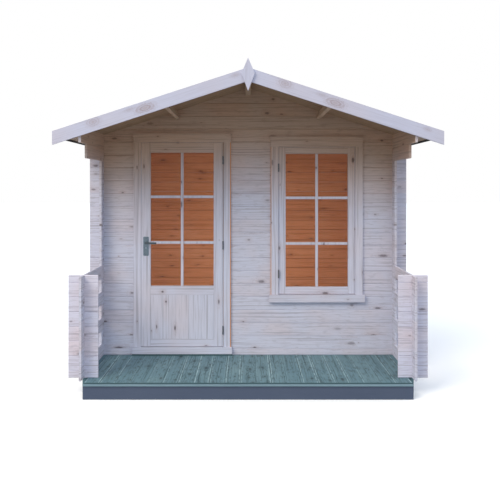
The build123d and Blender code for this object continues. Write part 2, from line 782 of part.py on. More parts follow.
def door_hinge_pins():
    """The lower hinge halves, fixed to the jamb, each with its pin."""
    pieces = []
    inner = DOOR_RIGHT + MOVING_GAP - SEAT_GAP
    for low in hinge_levels(DOOR_BOTTOM, DOOR_HEIGHT, HINGE_HEIGHT_SHARES):
        middle = low + HINGE_HEIGHT / 2 - SEAT_GAP
        piece = upright_bar(HINGE_X, HINGE_Y, HINGE_RADIUS, low, middle)
        piece += hinge_plate(inner - HINGE_PLATE, inner, HINGE_Y, low, middle)
        piece += pin_bar(HINGE_X, HINGE_Y, HINGE_PIN_RADIUS, False, low, low + HINGE_HEIGHT)
        pieces.append(piece)
    return pieces


def door_hinge_leaves():
    """The upper hinge halves, fixed to the leaf, which drop over the pins."""
    pieces = []
    outer = DOOR_RIGHT + SEAT_GAP
    for low in hinge_levels(DOOR_BOTTOM, DOOR_HEIGHT, HINGE_HEIGHT_SHARES):
        middle = low + HINGE_HEIGHT / 2 + SEAT_GAP
        high = low + HINGE_HEIGHT
        piece = upright_bar(HINGE_X, HINGE_Y, HINGE_RADIUS, middle, high)
        piece += hinge_plate(outer, outer + HINGE_PLATE, HINGE_Y, middle, high)
        bore = HINGE_PIN_RADIUS + HINGE_PIN_GAP
        piece -= pin_bar(HINGE_X, HINGE_Y, bore, True, middle - OVERRUN, high + OVERRUN)
        pieces.append(piece)
    return pieces


def spindle_bar(y_low, y_high, radius):
    """A round bar along the lever's spindle."""
    place = Pos(SPINDLE_X, (y_low + y_high) / 2, SPINDLE_Z) * Rot(90, 0, 0)
    return place * Cylinder(radius, y_high - y_low)


def spindle_bore(y_low, y_high, radius, sides):
    """A hole along the lever's spindle, whose flats clear a round bar of the radius."""
    plane = Plane(origin=(SPINDLE_X, y_low, SPINDLE_Z), x_dir=(1, 0, 0), z_dir=(0, -1, 0))
    outline = RegularPolygon(radius, sides, major_radius=False)
    return extrude(plane * outline, amount=y_high - y_low, dir=(0, 1, 0))


def square_spindle(y_low, y_high, gap):
    """The square bar that turns both levers, or with a gap the socket for it."""
    half = SPINDLE_SIDE / 2 + gap
    return block(SPINDLE_X - half, SPINDLE_X + half, y_low, y_high, SPINDLE_Z - half, SPINDLE_Z + half)


def handle_plate(y_low, y_high):
    """One long backplate, with the lever's hole and a keyhole."""
    middle_z = HANDLE_PLATE_BOTTOM + HANDLE_PLATE_HEIGHT / 2
    plane = Plane(origin=(SPINDLE_X, y_high, middle_z), x_dir=(1, 0, 0), z_dir=(0, -1, 0))
    outline = RectangleRounded(HANDLE_PLATE_WIDTH, HANDLE_PLATE_HEIGHT, HANDLE_PLATE_ROUND)
    plate = extrude(plane * outline, amount=y_high - y_low)
    key_z = SPINDLE_Z - KEYHOLE_DROP
    plate -= spindle_bore(y_low - OVERRUN, y_high + OVERRUN, LEVER_NECK_RADIUS + SEAT_GAP, BORE_SIDES)
    keyhole = spindle_bore(y_low - OVERRUN, y_high + OVERRUN, KEYHOLE_RADIUS, KEYHOLE_SIDES)
    keyhole = Pos(0, 0, -KEYHOLE_DROP) * keyhole
    slot_half = KEYHOLE_SLOT_WIDTH / 2
    keyhole += block(
        SPINDLE_X - slot_half,
        SPINDLE_X + slot_half,
        y_low - OVERRUN,
        y_high + OVERRUN,
        key_z - KEYHOLE_SLOT_HEIGHT,
        key_z,
    )
    return plate - keyhole


def door_handle_plates():
    """The backplates on both faces of the door."""
    outside = FRAME_FRONT - SEAT_GAP
    inside = DOOR_BACK + SEAT_GAP
    return [
        handle_plate(outside - HANDLE_PLATE_THICKNESS, outside),
        handle_plate(inside, inside + HANDLE_PLATE_THICKNESS),
    ]


def lever_grip(y_low, y_high):
    """The lever's arm, pointing to the hinges, round-ended."""
    plane = Plane(origin=(0, y_high, 0), x_dir=(1, 0, 0), z_dir=(0, -1, 0))
    half = LEVER_HEIGHT / 2
    middle = SPINDLE_X + (LEVER_LENGTH - half) / 2
    length = LEVER_LENGTH + half
    outline = Pos(middle, SPINDLE_Z) * SlotOverall(length, LEVER_HEIGHT)
    return extrude(plane * outline, amount=y_high - y_low)


def outer_lever():
    """The lever outside, with the spindle that passes through the door."""
    start = FRAME_FRONT - LEVER_NECK_LENGTH
    lever = spindle_bar(start, FRAME_FRONT, LEVER_NECK_RADIUS)
    lever += lever_grip(start - LEVER_THICKNESS, start)
    lever += square_spindle(start, DOOR_BACK + LEVER_SOCKET, 0)
    return [lever]


def inner_lever():
    """The lever inside, with a socket for the spindle."""
    end = DOOR_BACK + LEVER_NECK_LENGTH
    lever = spindle_bar(DOOR_BACK, end, LEVER_NECK_RADIUS)
    lever += lever_grip(end, end + LEVER_THICKNESS)
    lever -= square_spindle(DOOR_BACK - OVERRUN, DOOR_BACK + LEVER_SOCKET + SEAT_GAP, SEAT_GAP)
    return [lever]


def window_jambs():
    """The window frame's two uprights, standing on the sill."""
    low = WINDOW_BOTTOM - MOVING_GAP + SEAT_GAP
    high = WINDOW_TOP + MOVING_GAP - SEAT_GAP
    return [
        jamb(WINDOW_LEFT - MOVING_GAP, -1, low, high),
        jamb(WINDOW_RIGHT + MOVING_GAP, 1, low, high),
    ]


def window_head():
    """The window frame's top."""
    return frame_head(
        WINDOW_LEFT - MOVING_GAP,
        WINDOW_RIGHT + MOVING_GAP,
        WINDOW_TOP + MOVING_GAP,
        WINDOW_HEAD_TRIM,
        WINDOW_DRIP_BOARD,
    )


def window_sill():
    """The sill, a little wider than the frame."""
    top = WINDOW_BOTTOM - MOVING_GAP
    return [
        frame_foot(
            WINDOW_LEFT - MOVING_GAP,
            WINDOW_RIGHT + MOVING_GAP,
            top,
            top - SILL_HEIGHT,
            SILL_LEVEL + SEAT_GAP,
            SILL_REACH,
            SILL_THICKNESS,
        )
    ]


def window_pane(gap):
    """The window's glass, or with no gap the groove that it stands in."""
    low = WINDOW_BOTTOM + SASH_BOTTOM_RAIL
    high = WINDOW_TOP - SASH_TOP_RAIL
    places = pane_places(WINDOW_LEFT, WINDOW_RIGHT, low, high, SASH_STILE, gap)
    middle = SASH_FRONT + SASH_THICKNESS / 2
    y_low, y_high = centred(middle, GLASS_THICKNESS + 2 * (GROOVE_GAP - gap))
    return block(places[0], places[1], y_low, y_high, places[2], places[3])


def window_sash():
    """The casement's two stiles and two rails, grooved for the glass."""
    rail_left = WINDOW_LEFT + SASH_STILE + LOG_GAP
    rail_right = WINDOW_RIGHT - SASH_STILE - LOG_GAP
    places = [
        (WINDOW_LEFT, WINDOW_LEFT + SASH_STILE, WINDOW_BOTTOM, WINDOW_TOP),
        (WINDOW_RIGHT - SASH_STILE, WINDOW_RIGHT, WINDOW_BOTTOM, WINDOW_TOP),
        (rail_left, rail_right, WINDOW_BOTTOM, WINDOW_BOTTOM + SASH_BOTTOM_RAIL),
        (rail_left, rail_right, WINDOW_TOP - SASH_TOP_RAIL, WINDOW_TOP),
    ]
    back = SASH_FRONT + SASH_THICKNESS
    return framed(SASH_FRONT, back, places, [window_pane(0)])


def window_glass():
    """The window's glass."""
    return [window_pane(GROOVE_GAP)]


def window_hinges():
    """Two hinges on the casement's left, their knuckles outside."""
    pieces = []
    axis_x = WINDOW_LEFT - MOVING_GAP / 2
    axis_y = FRAME_FRONT - HINGE_STANDOFF
    for low in hinge_levels(WINDOW_BOTTOM, WINDOW_HEIGHT, WINDOW_HINGE_SHARES):
        high = low + HINGE_HEIGHT
        piece = upright_bar(axis_x, axis_y, HINGE_RADIUS, low, high)
        left = WINDOW_LEFT - MOVING_GAP + SEAT_GAP
        right = WINDOW_LEFT - SEAT_GAP
        piece += hinge_plate(left, left + HINGE_PLATE, axis_y, low, high)
        piece += hinge_plate(right - HINGE_PLATE, right, axis_y, low, high)
        pieces.append(piece)
    return pieces


def write(name, pieces):
    """Write one named piece, or several like ones that don't touch, in the cabin's own frame."""
    place = Pos(0, -MIDDLE_Y, BASE_HEIGHT)
    moved = [place * piece for piece in pieces]
    shape = moved[0] if len(moved) == 1 else Compound(children=moved)
    export_step(shape, f"parts/{name}.step")


os.makedirs("parts", exist_ok=True)

write("foundation_bearers", foundation_bearers())
write("veranda_deck", veranda_deck())
write("room_floor", room_floor())
write("front_wall_left", front_wall_left())
write("front_wall_below_window", front_wall_below_window())
write("front_wall_middle", front_wall_middle())
write("front_wall_right", front_wall_right())
write("front_gable", gable(0))
write("back_wall", back_wall())
write("back_gable", gable(BACK_IN))

RIGHT_PIECES = {
    "wall": right_wall(),
    "rail_logs": right_rail_logs(),
    "corner_blocks": right_corner_blocks(),
    "cross_logs": right_cross_logs(),
    "eaves_logs": right_eaves_logs(),
    "roof_boards": right_roof_boards(),
    "roof_felt": right_roof_felt(),
    "front_bargeboard": right_bargeboard(ROOF_FRONT - BARGE_THICKNESS),
    "back_bargeboard": right_bargeboard(ROOF_BACK + SEAT_GAP),
}
for part_name, right_pieces in RIGHT_PIECES.items():
    write(f"right_{part_name}", right_pieces)
    write(f"left_{part_name}", mirrored(right_pieces))

write("ridge_felt", ridge_felt())
write("ridge_purlin", ridge_purlin())
write("side_purlins", side_purlins())
write("front_finial", finial(FINIAL_FRONT))
write("back_finial", finial(ROOF_BACK + BARGE_THICKNESS + SEAT_GAP))

write("door_jambs", door_jambs())
write("door_head", door_head())
write("door_threshold", door_threshold())
write("door_stops", door_stops())
write("door_leaf", door_leaf())
write("door_panel", door_panel())
write("door_glass", door_glass())
write("door_hinge_pins", door_hinge_pins())
write("door_hinge_leaves", door_hinge_leaves())
write("door_handle_plates", door_handle_plates())
write("outer_lever", outer_lever())
write("inner_lever", inner_lever())
write("window_jambs", window_jambs())
write("window_head", window_head())
write("window_sill", window_sill())
write("window_sash", window_sash())
write("window_glass", window_glass())
write("window_hinges", window_hinges())
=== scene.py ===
"""Dresses the log cabin: finishes, boarding, glazing bars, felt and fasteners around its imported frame."""

import logging
import math
from dataclasses import dataclass, field
from enum import Enum

import bmesh
import bpy
from mathutils import Matrix, Vector


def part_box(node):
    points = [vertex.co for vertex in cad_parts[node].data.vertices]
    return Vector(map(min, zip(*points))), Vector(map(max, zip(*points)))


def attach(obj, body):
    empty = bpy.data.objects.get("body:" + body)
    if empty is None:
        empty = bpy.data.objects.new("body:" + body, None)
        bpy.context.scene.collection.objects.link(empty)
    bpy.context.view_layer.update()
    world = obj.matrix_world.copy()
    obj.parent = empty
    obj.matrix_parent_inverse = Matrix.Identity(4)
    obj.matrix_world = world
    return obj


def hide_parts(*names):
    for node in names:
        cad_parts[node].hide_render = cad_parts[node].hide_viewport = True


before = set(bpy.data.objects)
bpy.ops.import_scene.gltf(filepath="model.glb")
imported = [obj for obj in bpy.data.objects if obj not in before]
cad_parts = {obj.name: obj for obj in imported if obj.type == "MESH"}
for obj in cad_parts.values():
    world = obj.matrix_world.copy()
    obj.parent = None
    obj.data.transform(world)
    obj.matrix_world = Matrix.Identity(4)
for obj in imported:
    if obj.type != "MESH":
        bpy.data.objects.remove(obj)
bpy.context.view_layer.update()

LOGGER = logging.getLogger("log_cabin")

Colour = tuple[float, float, float]
Span = tuple[float, float]
Plan = tuple[float, float, float, float]
Section = tuple[float, float, float, float]
Place = tuple[float, float, float]
Pull = tuple[float, float, float]
Names = tuple[str, ...]
FirstValues = tuple[tuple[str, float], ...]
Kinds = tuple[tuple[str, str], ...]
Spots = list[tuple[Vector, Vector]]
Piece = bpy.types.Object
Node = bpy.types.Node
Socket = bpy.types.NodeSocket
Sockets = dict[str, Socket]
Value = Socket | float | tuple

# Blender's places for sockets whose names others of their node have too.
COLOUR_MIX_INPUTS = (0, 6, 7)
COLOUR_MIX_RESULT = 2
RANDOM_FLOAT_RESULT = 1

# SEAT_GAP parts pieces that meet, END_SKIN takes in an end face, and GROOVE_REACH is a groove's depth.
LOG_PITCH = 0.114
ROOF_PITCH = math.radians(18.0)
SEAT_GAP = 0.0003
END_SKIN = 0.001
GROOVE_REACH = 0.0086
WALL_HALF = -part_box("left_wall")[0].x - END_SKIN / 2
WHITE = (1.0, 1.0, 1.0)
OUTSIDE = Vector((0.0, -1.0, 0.0))
UPWARD = Vector((0.0, 0.0, 1.0))


def rgba(colour: Colour) -> tuple[float, float, float, float]:
    """A colour with full cover."""
    return (*colour, 1.0)


class Grain(Enum):
    """How a timber lies: the axes along its grain, across it and into it, and the roof slope it follows."""

    WALL_ACROSS = ("X", "Z", "Y", 0.0)
    WALL_DEEP = ("Y", "Z", "X", 0.0)
    UPRIGHT = ("Z", "X", "Y", 0.0)
    FLAT_DEEP = ("Y", "X", "Z", 0.0)
    LEFT_RAKE = ("X", "Z", "Y", 1.0)
    RIGHT_RAKE = ("X", "Z", "Y", -1.0)
    LEFT_SLOPE = ("X", "Y", "Z", 1.0)
    RIGHT_SLOPE = ("X", "Y", "Z", -1.0)


class Tone(Enum):
    """What one even tone of stain covers: a course of logs, a board, or a whole piece."""

    COURSE = "course"
    BOARD = "board"
    PIECE = "piece"


@dataclass(frozen=True)
class Relief:
    """How strongly a fine relief shows, and how deep it is in metres."""

    strength: float
    depth: float


@dataclass
class Sketch:
    """A node tree, with short ways to add, feed and join its nodes."""

    tree: bpy.types.NodeTree

    def node(self, kind: str, **settings: object) -> Node:
        """Add a node.

        Args:
            kind: Blender's name for the node's type.
            settings: The node's own properties.

        Returns:
            The new node.
        """
        made = self.tree.nodes.new(kind)
        for name, value in settings.items():
            setattr(made, name, value)
        return made

    def feed(self, socket: Socket, value: Value) -> None:
        """Link a socket to another, or set its own value.

        Args:
            socket: The socket to feed.
            value: Another socket, or a plain value.
        """
        if isinstance(value, Socket):
            self.tree.links.new(value, socket)
        else:
            socket.default_value = value

    def fill(self, node: Node, **values: Value) -> Node:
        """Feed a node's inputs by name, where an underscore stands for a space.

        Args:
            node: The node to feed.
            values: A socket or a plain value for each input.

        Returns:
            The same node.
        """
        for name, value in values.items():
            self.feed(node.inputs[name.replace("_", " ")], value)
        return node

    def math(self, operation: str, *values: Value) -> Socket:
        """Do a sum.

        Args:
            operation: Blender's name for the sum.
            values: Sockets or plain numbers.

        Returns:
            The result.
        """
        made = self.node("ShaderNodeMath", operation=operation)
        for socket, value in zip(made.inputs, values):
            self.feed(socket, value)
        return made.outputs["Value"]

    def combine(self, x: Value, y: Value, z: Value) -> Socket:
        """A vector from three numbers."""
        made = self.node("ShaderNodeCombineXYZ")
        return self.fill(made, X=x, Y=y, Z=z).outputs["Vector"]

    def separate(self, vector: Value) -> Sockets:
        """A vector's three numbers, by axis name."""
        made = self.fill(self.node("ShaderNodeSeparateXYZ"), Vector=vector)
        return {axis: made.outputs[axis] for axis in "XYZ"}

    def pulled(self, place: tuple[Value, ...], pull: Pull) -> Socket:
        """A place with each of its three numbers scaled by itself."""
        return self.combine(*(self.math("MULTIPLY", value, scale) for value, scale in zip(place, pull)))

    def noise(self, vector: Value, scale: float, detail: float = 2.0) -> Socket:
        """Smooth noise from 0 to 1 about a half."""
        made = self.node("ShaderNodeTexNoise")
        return self.fill(made, Vector=vector, Scale=scale, Detail=detail).outputs["Fac"]

    def chance(self, number: Value) -> Socket:
        """A number from 0 to 1 that looks random, the same for each equal number."""
        made = self.node("ShaderNodeTexWhiteNoise", noise_dimensions="1D")
        return self.fill(made, W=number).outputs["Value"]

    def rise(self, value: Value, low: Value, high: Value) -> Socket:
        """A soft step from 0 at low to 1 at high."""
        made = self.node("ShaderNodeMapRange", interpolation_type="SMOOTHSTEP")
        return self.fill(made, Value=value, From_Min=low, From_Max=high).outputs["Result"]

    def within(self, value: Value, low: float, high: float) -> Socket:
        """1 where a number lies between two limits, and 0 elsewhere."""
        above = self.math("GREATER_THAN", value, low)
        return self.math("MULTIPLY", above, self.math("LESS_THAN", value, high))

    def mix(self, share: Value, first: Value, second: Value, blend: str = "MIX") -> Socket:
        """Blend two colours.

        Args:
            share: How much of the second colour shows, from 0 to 1.
            first: The first colour.
            second: The second colour.
            blend: Blender's name for the way that they blend.

        Returns:
            The blend.
        """
        made = self.node("ShaderNodeMix", data_type="RGBA", blend_type=blend)
        for index, value in zip(COLOUR_MIX_INPUTS, (share, first, second)):
            plain = isinstance(value, tuple)
            self.feed(made.inputs[index], rgba(value) if plain else value)
        return made.outputs[COLOUR_MIX_RESULT]

    def bump(self, shader: Node, height: Socket, relief: Relief) -> None:
        """Give a shader's surface a fine relief.

        Args:
            shader: The shader.
            height: The relief's height, from 0 to 1.
            relief: How it shows.
        """
        made = self.fill(self.node("ShaderNodeBump"), Strength=relief.strength, Distance=relief.depth,
                         Height=height)
        self.feed(shader.inputs["Normal"], made.outputs["Normal"])


@dataclass(frozen=True)
class SharedGroup:
    """A shader node group that is built once and placed in many materials.

    Attributes:
        name: The group's name.
        inputs: Each input's name and first value.
        outputs: The outputs' names.
    """

    name: str
    inputs: FirstValues
    outputs: Names

    def place(self, sketch: Sketch, **values: Value) -> Sockets:
        """Put the group in a material.

        Args:
            sketch: The material's tree.
            values: Inputs by name, where an underscore stands for a space.

        Returns:
            The group's outputs by name.
        """
        tree = bpy.data.node_groups.get(self.name) or self.build()
        made = sketch.fill(sketch.node("ShaderNodeGroup", node_tree=tree), **values)
        return {name: made.outputs[name] for name in self.outputs}

    def build(self) -> bpy.types.NodeTree:
        """Make the group's sockets, and let the kind of group draw its nodes.

        Returns:
            The group's tree.
        """
        tree = bpy.data.node_groups.new(self.name, "ShaderNodeTree")
        for name, value in self.inputs:
            socket = tree.interface.new_socket(name, in_out="INPUT", socket_type="NodeSocketFloat")
            socket.default_value = value
        for name in self.outputs:
            tree.interface.new_socket(name, in_out="OUTPUT", socket_type="NodeSocketFloat")
        sketch = Sketch(tree)
        entry = sketch.node("NodeGroupInput")
        results = self.draw(sketch, {name: entry.outputs[name] for name, _ in self.inputs})
        sketch.fill(sketch.node("NodeGroupOutput"), **dict(zip(self.outputs, results)))
        return tree

    def draw(self, sketch: Sketch, given: Sockets) -> tuple[Socket, ...]:
        """Draw the group's nodes, which each kind of group does in its own way."""
        raise NotImplementedError


@dataclass(frozen=True)
class KnotShape:
    """The look of a knot: a ragged dark core in a halo of rings.

    Attributes:
        ragged: The scale of the core's ragged edge.
        edge_least: The least by which the edge scales the distance to the middle.
        edge_span: How much more it may.
        core_share: The darkest part's share of the radius.
        halo_reach: The halo's radius as a share of the knot's.
        ring_rate: How closely the halo's rings follow each other.
        ring_middle: How strongly the halo shows halfway between two rings.
        ring_swing: How much more it shows on a ring.
    """

    ragged: float = 90.0
    edge_least: float = 0.6
    edge_span: float = 0.8
    core_share: float = 0.35
    halo_reach: float = 3.4
    ring_rate: float = 7.5
    ring_middle: float = 0.65
    ring_swing: float = 0.35

    def draw(self, sketch: Sketch, place: Socket, off_along: Socket, off_across: Socket,
             radius: Socket) -> tuple[Socket, Socket]:
        """Draw a knot from the distance to its middle.

        Args:
            sketch: The group's tree.
            place: The place on the timber.
            off_along: How far it is from the knot's middle along the timber.
            off_across: The same across the timber.
            radius: The knot's radius.

        Returns:
            The core and the halo.
        """
        short_way = sketch.math("MULTIPLY", off_across, off_across)
        reach = sketch.math("SQRT", sketch.math("MULTIPLY_ADD", off_along, off_along, short_way))
        edge = sketch.math("MULTIPLY_ADD", sketch.noise(place, self.ragged), self.edge_span, self.edge_least)
        reach = sketch.math("MULTIPLY", reach, edge)
        core = sketch.rise(reach, radius, sketch.math("MULTIPLY", radius, self.core_share))
        halo = sketch.rise(reach, sketch.math("MULTIPLY", radius, self.halo_reach), radius)
        turns = sketch.math("MULTIPLY", sketch.math("DIVIDE", reach, radius), self.ring_rate)
        rings = sketch.math("MULTIPLY_ADD", sketch.math("SINE", turns), self.ring_swing, self.ring_middle)
        return core, sketch.math("MULTIPLY", halo, rings)


@dataclass(frozen=True)
class TimberFigure(SharedGroup):
    """Streaks of grain that part round scattered knots.

    Attributes:
        shape: The knots' look.
        scatter: How far the knots stray from even rows, from 0 to 1.
        stretch_least: How much longer than wide the roundest knot is.
        stretch_span: How much longer still the longest one is.
        radius_least: The smallest knot's share of the given radius.
        radius_span: How much more of it the largest has.
        fade_share: How much fainter the faintest knot is.
        parting_share: How far the grain parts round a knot.
        layer: The depth over which the figure stays the same, in metres.
        layer_shift: How far the figure slides from layer to layer.
        drift_pull: Scales of the grain's slow drift, along and across.
        drift: How far the grain drifts, in metres.
        streak_pull: Scales of the broad streaks along, across and into the timber.
        fine_pull: The same of the fine streaks.
        speck_pull: The same of the short dark specks.
    """

    name: str = "Timber figure"
    inputs: FirstValues = (
        ("Along", 0.0), ("Across", 0.0), ("Depth", 0.0),
        ("Knot Spacing", 0.4), ("Knot Row", LOG_PITCH), ("Knot Radius", 0.01), ("Knot Share", 0.5),
    )
    outputs: Names = ("Streak", "Fine", "Speck", "Knot", "Halo")
    shape: KnotShape = KnotShape()
    scatter: float = 0.9
    stretch_least: float = 1.2
    stretch_span: float = 2.4
    radius_least: float = 0.4
    radius_span: float = 1.1
    fade_share: float = 0.6
    parting_share: float = 0.7
    layer: float = 0.06
    layer_shift: float = 0.731
    drift_pull: Span = (1.3, 6.0)
    drift: float = 0.03
    streak_pull: Pull = (1.1, 82.0, 23.0)
    fine_pull: Pull = (6.0, 310.0, 120.0)
    speck_pull: Pull = (13.0, 62.0, 23.0)

    def draw(self, sketch: Sketch, given: Sockets) -> tuple[Socket, ...]:
        """Draw the knots, and the grain from noise drawn out along the timber.

        Args:
            sketch: The group's tree.
            given: Its inputs by name.

        Returns:
            Broad streaks, fine streaks, specks, knots and halos.
        """
        layer = sketch.math("FLOOR", sketch.math("DIVIDE", given["Depth"], self.layer))
        along = sketch.math("MULTIPLY_ADD", layer, self.layer_shift, given["Along"])
        knot, halo, parting = self._knots(sketch, given, along)
        drift = sketch.noise(sketch.pulled((along, given["Across"], layer), (*self.drift_pull, 1.0)), 1.0)
        straight = sketch.math("SUBTRACT", given["Across"], parting)
        place = (along, sketch.math("MULTIPLY_ADD", drift, self.drift, straight), given["Depth"])
        streak = sketch.noise(sketch.pulled(place, self.streak_pull), 1.0, detail=3.0)
        fine = sketch.noise(sketch.pulled(place, self.fine_pull), 1.0)
        speck = sketch.noise(sketch.pulled(place, self.speck_pull), 1.0)
        return streak, fine, speck, knot, halo

    def _knots(self, sketch: Sketch, given: Sockets,
               along: Socket) -> tuple[Socket, Socket, Socket]:
        """Scatter knots over cells of the timber.

        Args:
            sketch: The group's tree.
            given: Its inputs by name.
            along: The place along the timber, in its own layer.

        Returns:
            Where knots show, where their halos show, and how far the grain parts round them.
        """
        spacing, row = given["Knot Spacing"], given["Knot Row"]
        u = sketch.math("DIVIDE", along, spacing)
        v = sketch.math("DIVIDE", given["Across"], row)
        cells = sketch.node("ShaderNodeTexVoronoi", voronoi_dimensions="2D")
        sketch.fill(cells, Vector=sketch.combine(u, v, 0.0), Scale=1.0, Randomness=self.scatter)
        centre = sketch.separate(cells.outputs["Position"])
        chances = sketch.fill(sketch.node("ShaderNodeSeparateColor"), Color=cells.outputs["Color"]).outputs
        off_along = sketch.math("MULTIPLY", sketch.math("SUBTRACT", u, centre["X"]), spacing)
        off_across = sketch.math("MULTIPLY", sketch.math("SUBTRACT", v, centre["Y"]), row)
        stretch = sketch.math("MULTIPLY_ADD", chances["Blue"], self.stretch_span, self.stretch_least)
        size = sketch.math("MULTIPLY_ADD", chances["Red"], self.radius_span, self.radius_least)
        core, halo = self.shape.draw(
            sketch, sketch.combine(given["Along"], given["Across"], given["Depth"]),
            sketch.math("DIVIDE", off_along, stretch), off_across,
            sketch.math("MULTIPLY", given["Knot Radius"], size),
        )
        ripe = sketch.math("DIVIDE", chances["Green"], given["Knot Share"])
        shown = sketch.math("MULTIPLY", sketch.math("LESS_THAN", ripe, 1.0),
                            sketch.math("MULTIPLY_ADD", ripe, -self.fade_share, 1.0))
        knot = sketch.math("MULTIPLY", core, shown)
        halo = sketch.math("MULTIPLY", halo, shown)
        parting = sketch.math("MULTIPLY", off_across, sketch.math("MULTIPLY", halo, self.parting_share))
        return knot, halo, parting


@dataclass(frozen=True)
class LoneKnot(SharedGroup):
    """One knot with a place and a look of its own."""

    name: str = "Lone knot"
    inputs: FirstValues = (
        ("Along", 0.0), ("Across", 0.0), ("Middle Along", 0.0), ("Middle Across", 0.0),
        ("Radius", 0.01), ("Stretch", 1.0),
    )
    outputs: Names = ("Knot", "Halo")
    shape: KnotShape = KnotShape()

    def draw(self, sketch: Sketch, given: Sockets) -> tuple[Socket, ...]:
        """Draw the knot from the distance to its middle.

        Args:
            sketch: The group's tree.
            given: Its inputs by name.

        Returns:
            The knot and its halo.
        """
        off_along = sketch.math("SUBTRACT", given["Along"], given["Middle Along"])
        off_across = sketch.math("SUBTRACT", given["Across"], given["Middle Across"])
        place = sketch.combine(given["Along"], given["Across"], 0.0)
        long_way = sketch.math("DIVIDE", off_along, given["Stretch"])
        return self.shape.draw(sketch, place, long_way, off_across, given["Radius"])


@dataclass(frozen=True)
class CourseLines(SharedGroup):
    """The courses of a log wall: a chance number for each log, and the shaded joint between two.

    Attributes:
        joint_core: Half the joint's width where it is darkest, in metres.
        joint_edge: Half its width where it ends.
    """

    name: str = "Course lines"
    inputs: FirstValues = (("Height", 0.0), ("Start", 0.0), ("Pitch", LOG_PITCH))
    outputs: Names = ("Chance", "Joint")
    joint_core: float = 0.0012
    joint_edge: float = 0.0062

    def draw(self, sketch: Sketch, given: Sockets) -> tuple[Socket, ...]:
        """Draw the courses from the height above the lowest one.

        Args:
            sketch: The group's tree.
            given: Its inputs by name.

        Returns:
            The log's chance number, and the joint.
        """
        above = sketch.math("SUBTRACT", given["Height"], given["Start"])
        count = sketch.math("DIVIDE", above, given["Pitch"])
        index = sketch.math("FLOOR", count)
        share = sketch.math("SUBTRACT", count, index)
        nearest = sketch.math("MINIMUM", share, sketch.math("SUBTRACT", 1.0, share))
        off = sketch.math("MULTIPLY", nearest, given["Pitch"])
        return sketch.chance(index), sketch.rise(off, self.joint_edge, self.joint_core)


@dataclass(frozen=True)
class Mottle(SharedGroup):
    """Uneven cover, from broad patches and small flecks.

    Attributes:
        patch_scale: The scale of the patches.
        patch_rise: The noise between which a patch comes in.
        fleck_scale: The scale of the flecks.
    """

    name: str = "Mottle"
    inputs: FirstValues = (("X", 0.0), ("Y", 0.0), ("Z", 0.0))
    outputs: Names = ("Patch", "Fleck")
    patch_scale: float = 2.6
    patch_rise: Span = (0.3, 0.7)
    fleck_scale: float = 140.0

    def draw(self, sketch: Sketch, given: Sockets) -> tuple[Socket, ...]:
        """Draw the patches and flecks from two sizes of noise.

        Args:
            sketch: The group's tree.
            given: Its inputs by name.

        Returns:
            The patches and the flecks.
        """
        place = sketch.combine(given["X"], given["Y"], given["Z"])
        patch = sketch.rise(sketch.noise(place, self.patch_scale, detail=3.0), *self.patch_rise)
        return patch, sketch.noise(place, self.fleck_scale)


TIMBER_FIGURE = TimberFigure()
LONE_KNOT = LoneKnot()
COURSE_LINES = CourseLines()
MOTTLE = Mottle()


@dataclass(frozen=True)
class Shades:
    """The colours of one stained or bare timber, each as light that it gives back."""

    body: Colour
    streak: Colour
    blush: Colour
    halo: Colour
    knot: Colour
    joint: Colour


WHITEWASH = Shades(
    body=(0.610, 0.628, 0.755),
    streak=(0.360, 0.345, 0.405),
    blush=(0.640, 0.580, 0.640),
    halo=(0.440, 0.360, 0.390),
    knot=(0.095, 0.072, 0.082),
    joint=(0.610, 0.610, 0.720),
)
# Painted light: a lighter copy of the whitewash for the veranda's cross logs, standing in for the light they
# catch.
LIT_CROSS_LOG_WASH = Shades(
    body=(0.675, 0.685, 0.825),
    streak=(0.410, 0.385, 0.450),
    blush=(0.715, 0.640, 0.700),
    halo=(0.470, 0.385, 0.415),
    knot=(0.095, 0.072, 0.082),
    joint=(0.640, 0.630, 0.740),
)
# Painted shade: a darker, greyer copy of the whitewash for the bargeboards and finials; its pale ringed
# knots are the timber's own.
SHADED_RAKE_WASH = Shades(
    body=(0.535, 0.550, 0.690),
    streak=(0.410, 0.405, 0.490),
    blush=(0.560, 0.530, 0.620),
    halo=(0.345, 0.285, 0.320),
    knot=(0.420, 0.375, 0.430),
    joint=(0.535, 0.550, 0.690),
)
BARE_PINE = Shades(
    body=(0.620, 0.262, 0.102),
    streak=(0.385, 0.136, 0.042),
    blush=(0.660, 0.310, 0.145),
    halo=(0.320, 0.105, 0.034),
    knot=(0.075, 0.024, 0.010),
    joint=(0.310, 0.110, 0.038),
)
# Painted shade: a darker copy of the pine for the roof boards, whose underside lies in the roof's shade.
SHADED_SOFFIT_PINE = Shades(
    body=(0.375, 0.250, 0.155),
    streak=(0.265, 0.168, 0.098),
    blush=(0.410, 0.285, 0.185),
    halo=(0.190, 0.108, 0.060),
    knot=(0.065, 0.035, 0.019),
    joint=(0.150, 0.085, 0.045),
)
BEAM_PINE = Shades(
    body=(0.540, 0.405, 0.290),
    streak=(0.390, 0.275, 0.185),
    blush=(0.590, 0.450, 0.330),
    halo=(0.310, 0.190, 0.115),
    knot=(0.085, 0.048, 0.027),
    joint=(0.390, 0.275, 0.185),
)
DECK_STAIN = Shades(
    body=(0.122, 0.228, 0.272),
    streak=(0.040, 0.088, 0.104),
    blush=(0.168, 0.284, 0.320),
    halo=(0.052, 0.104, 0.118),
    knot=(0.020, 0.038, 0.044),
    joint=(0.035, 0.060, 0.065),
)
# Painted light: a lighter copy of the deck stain for the nosing, standing in for the light on the deck's
# front edge.
LIT_NOSING_STAIN = Shades(
    body=(0.160, 0.252, 0.306),
    streak=(0.115, 0.190, 0.232),
    blush=(0.205, 0.310, 0.366),
    halo=(0.100, 0.170, 0.205),
    knot=(0.040, 0.066, 0.078),
    joint=(0.115, 0.190, 0.232),
)
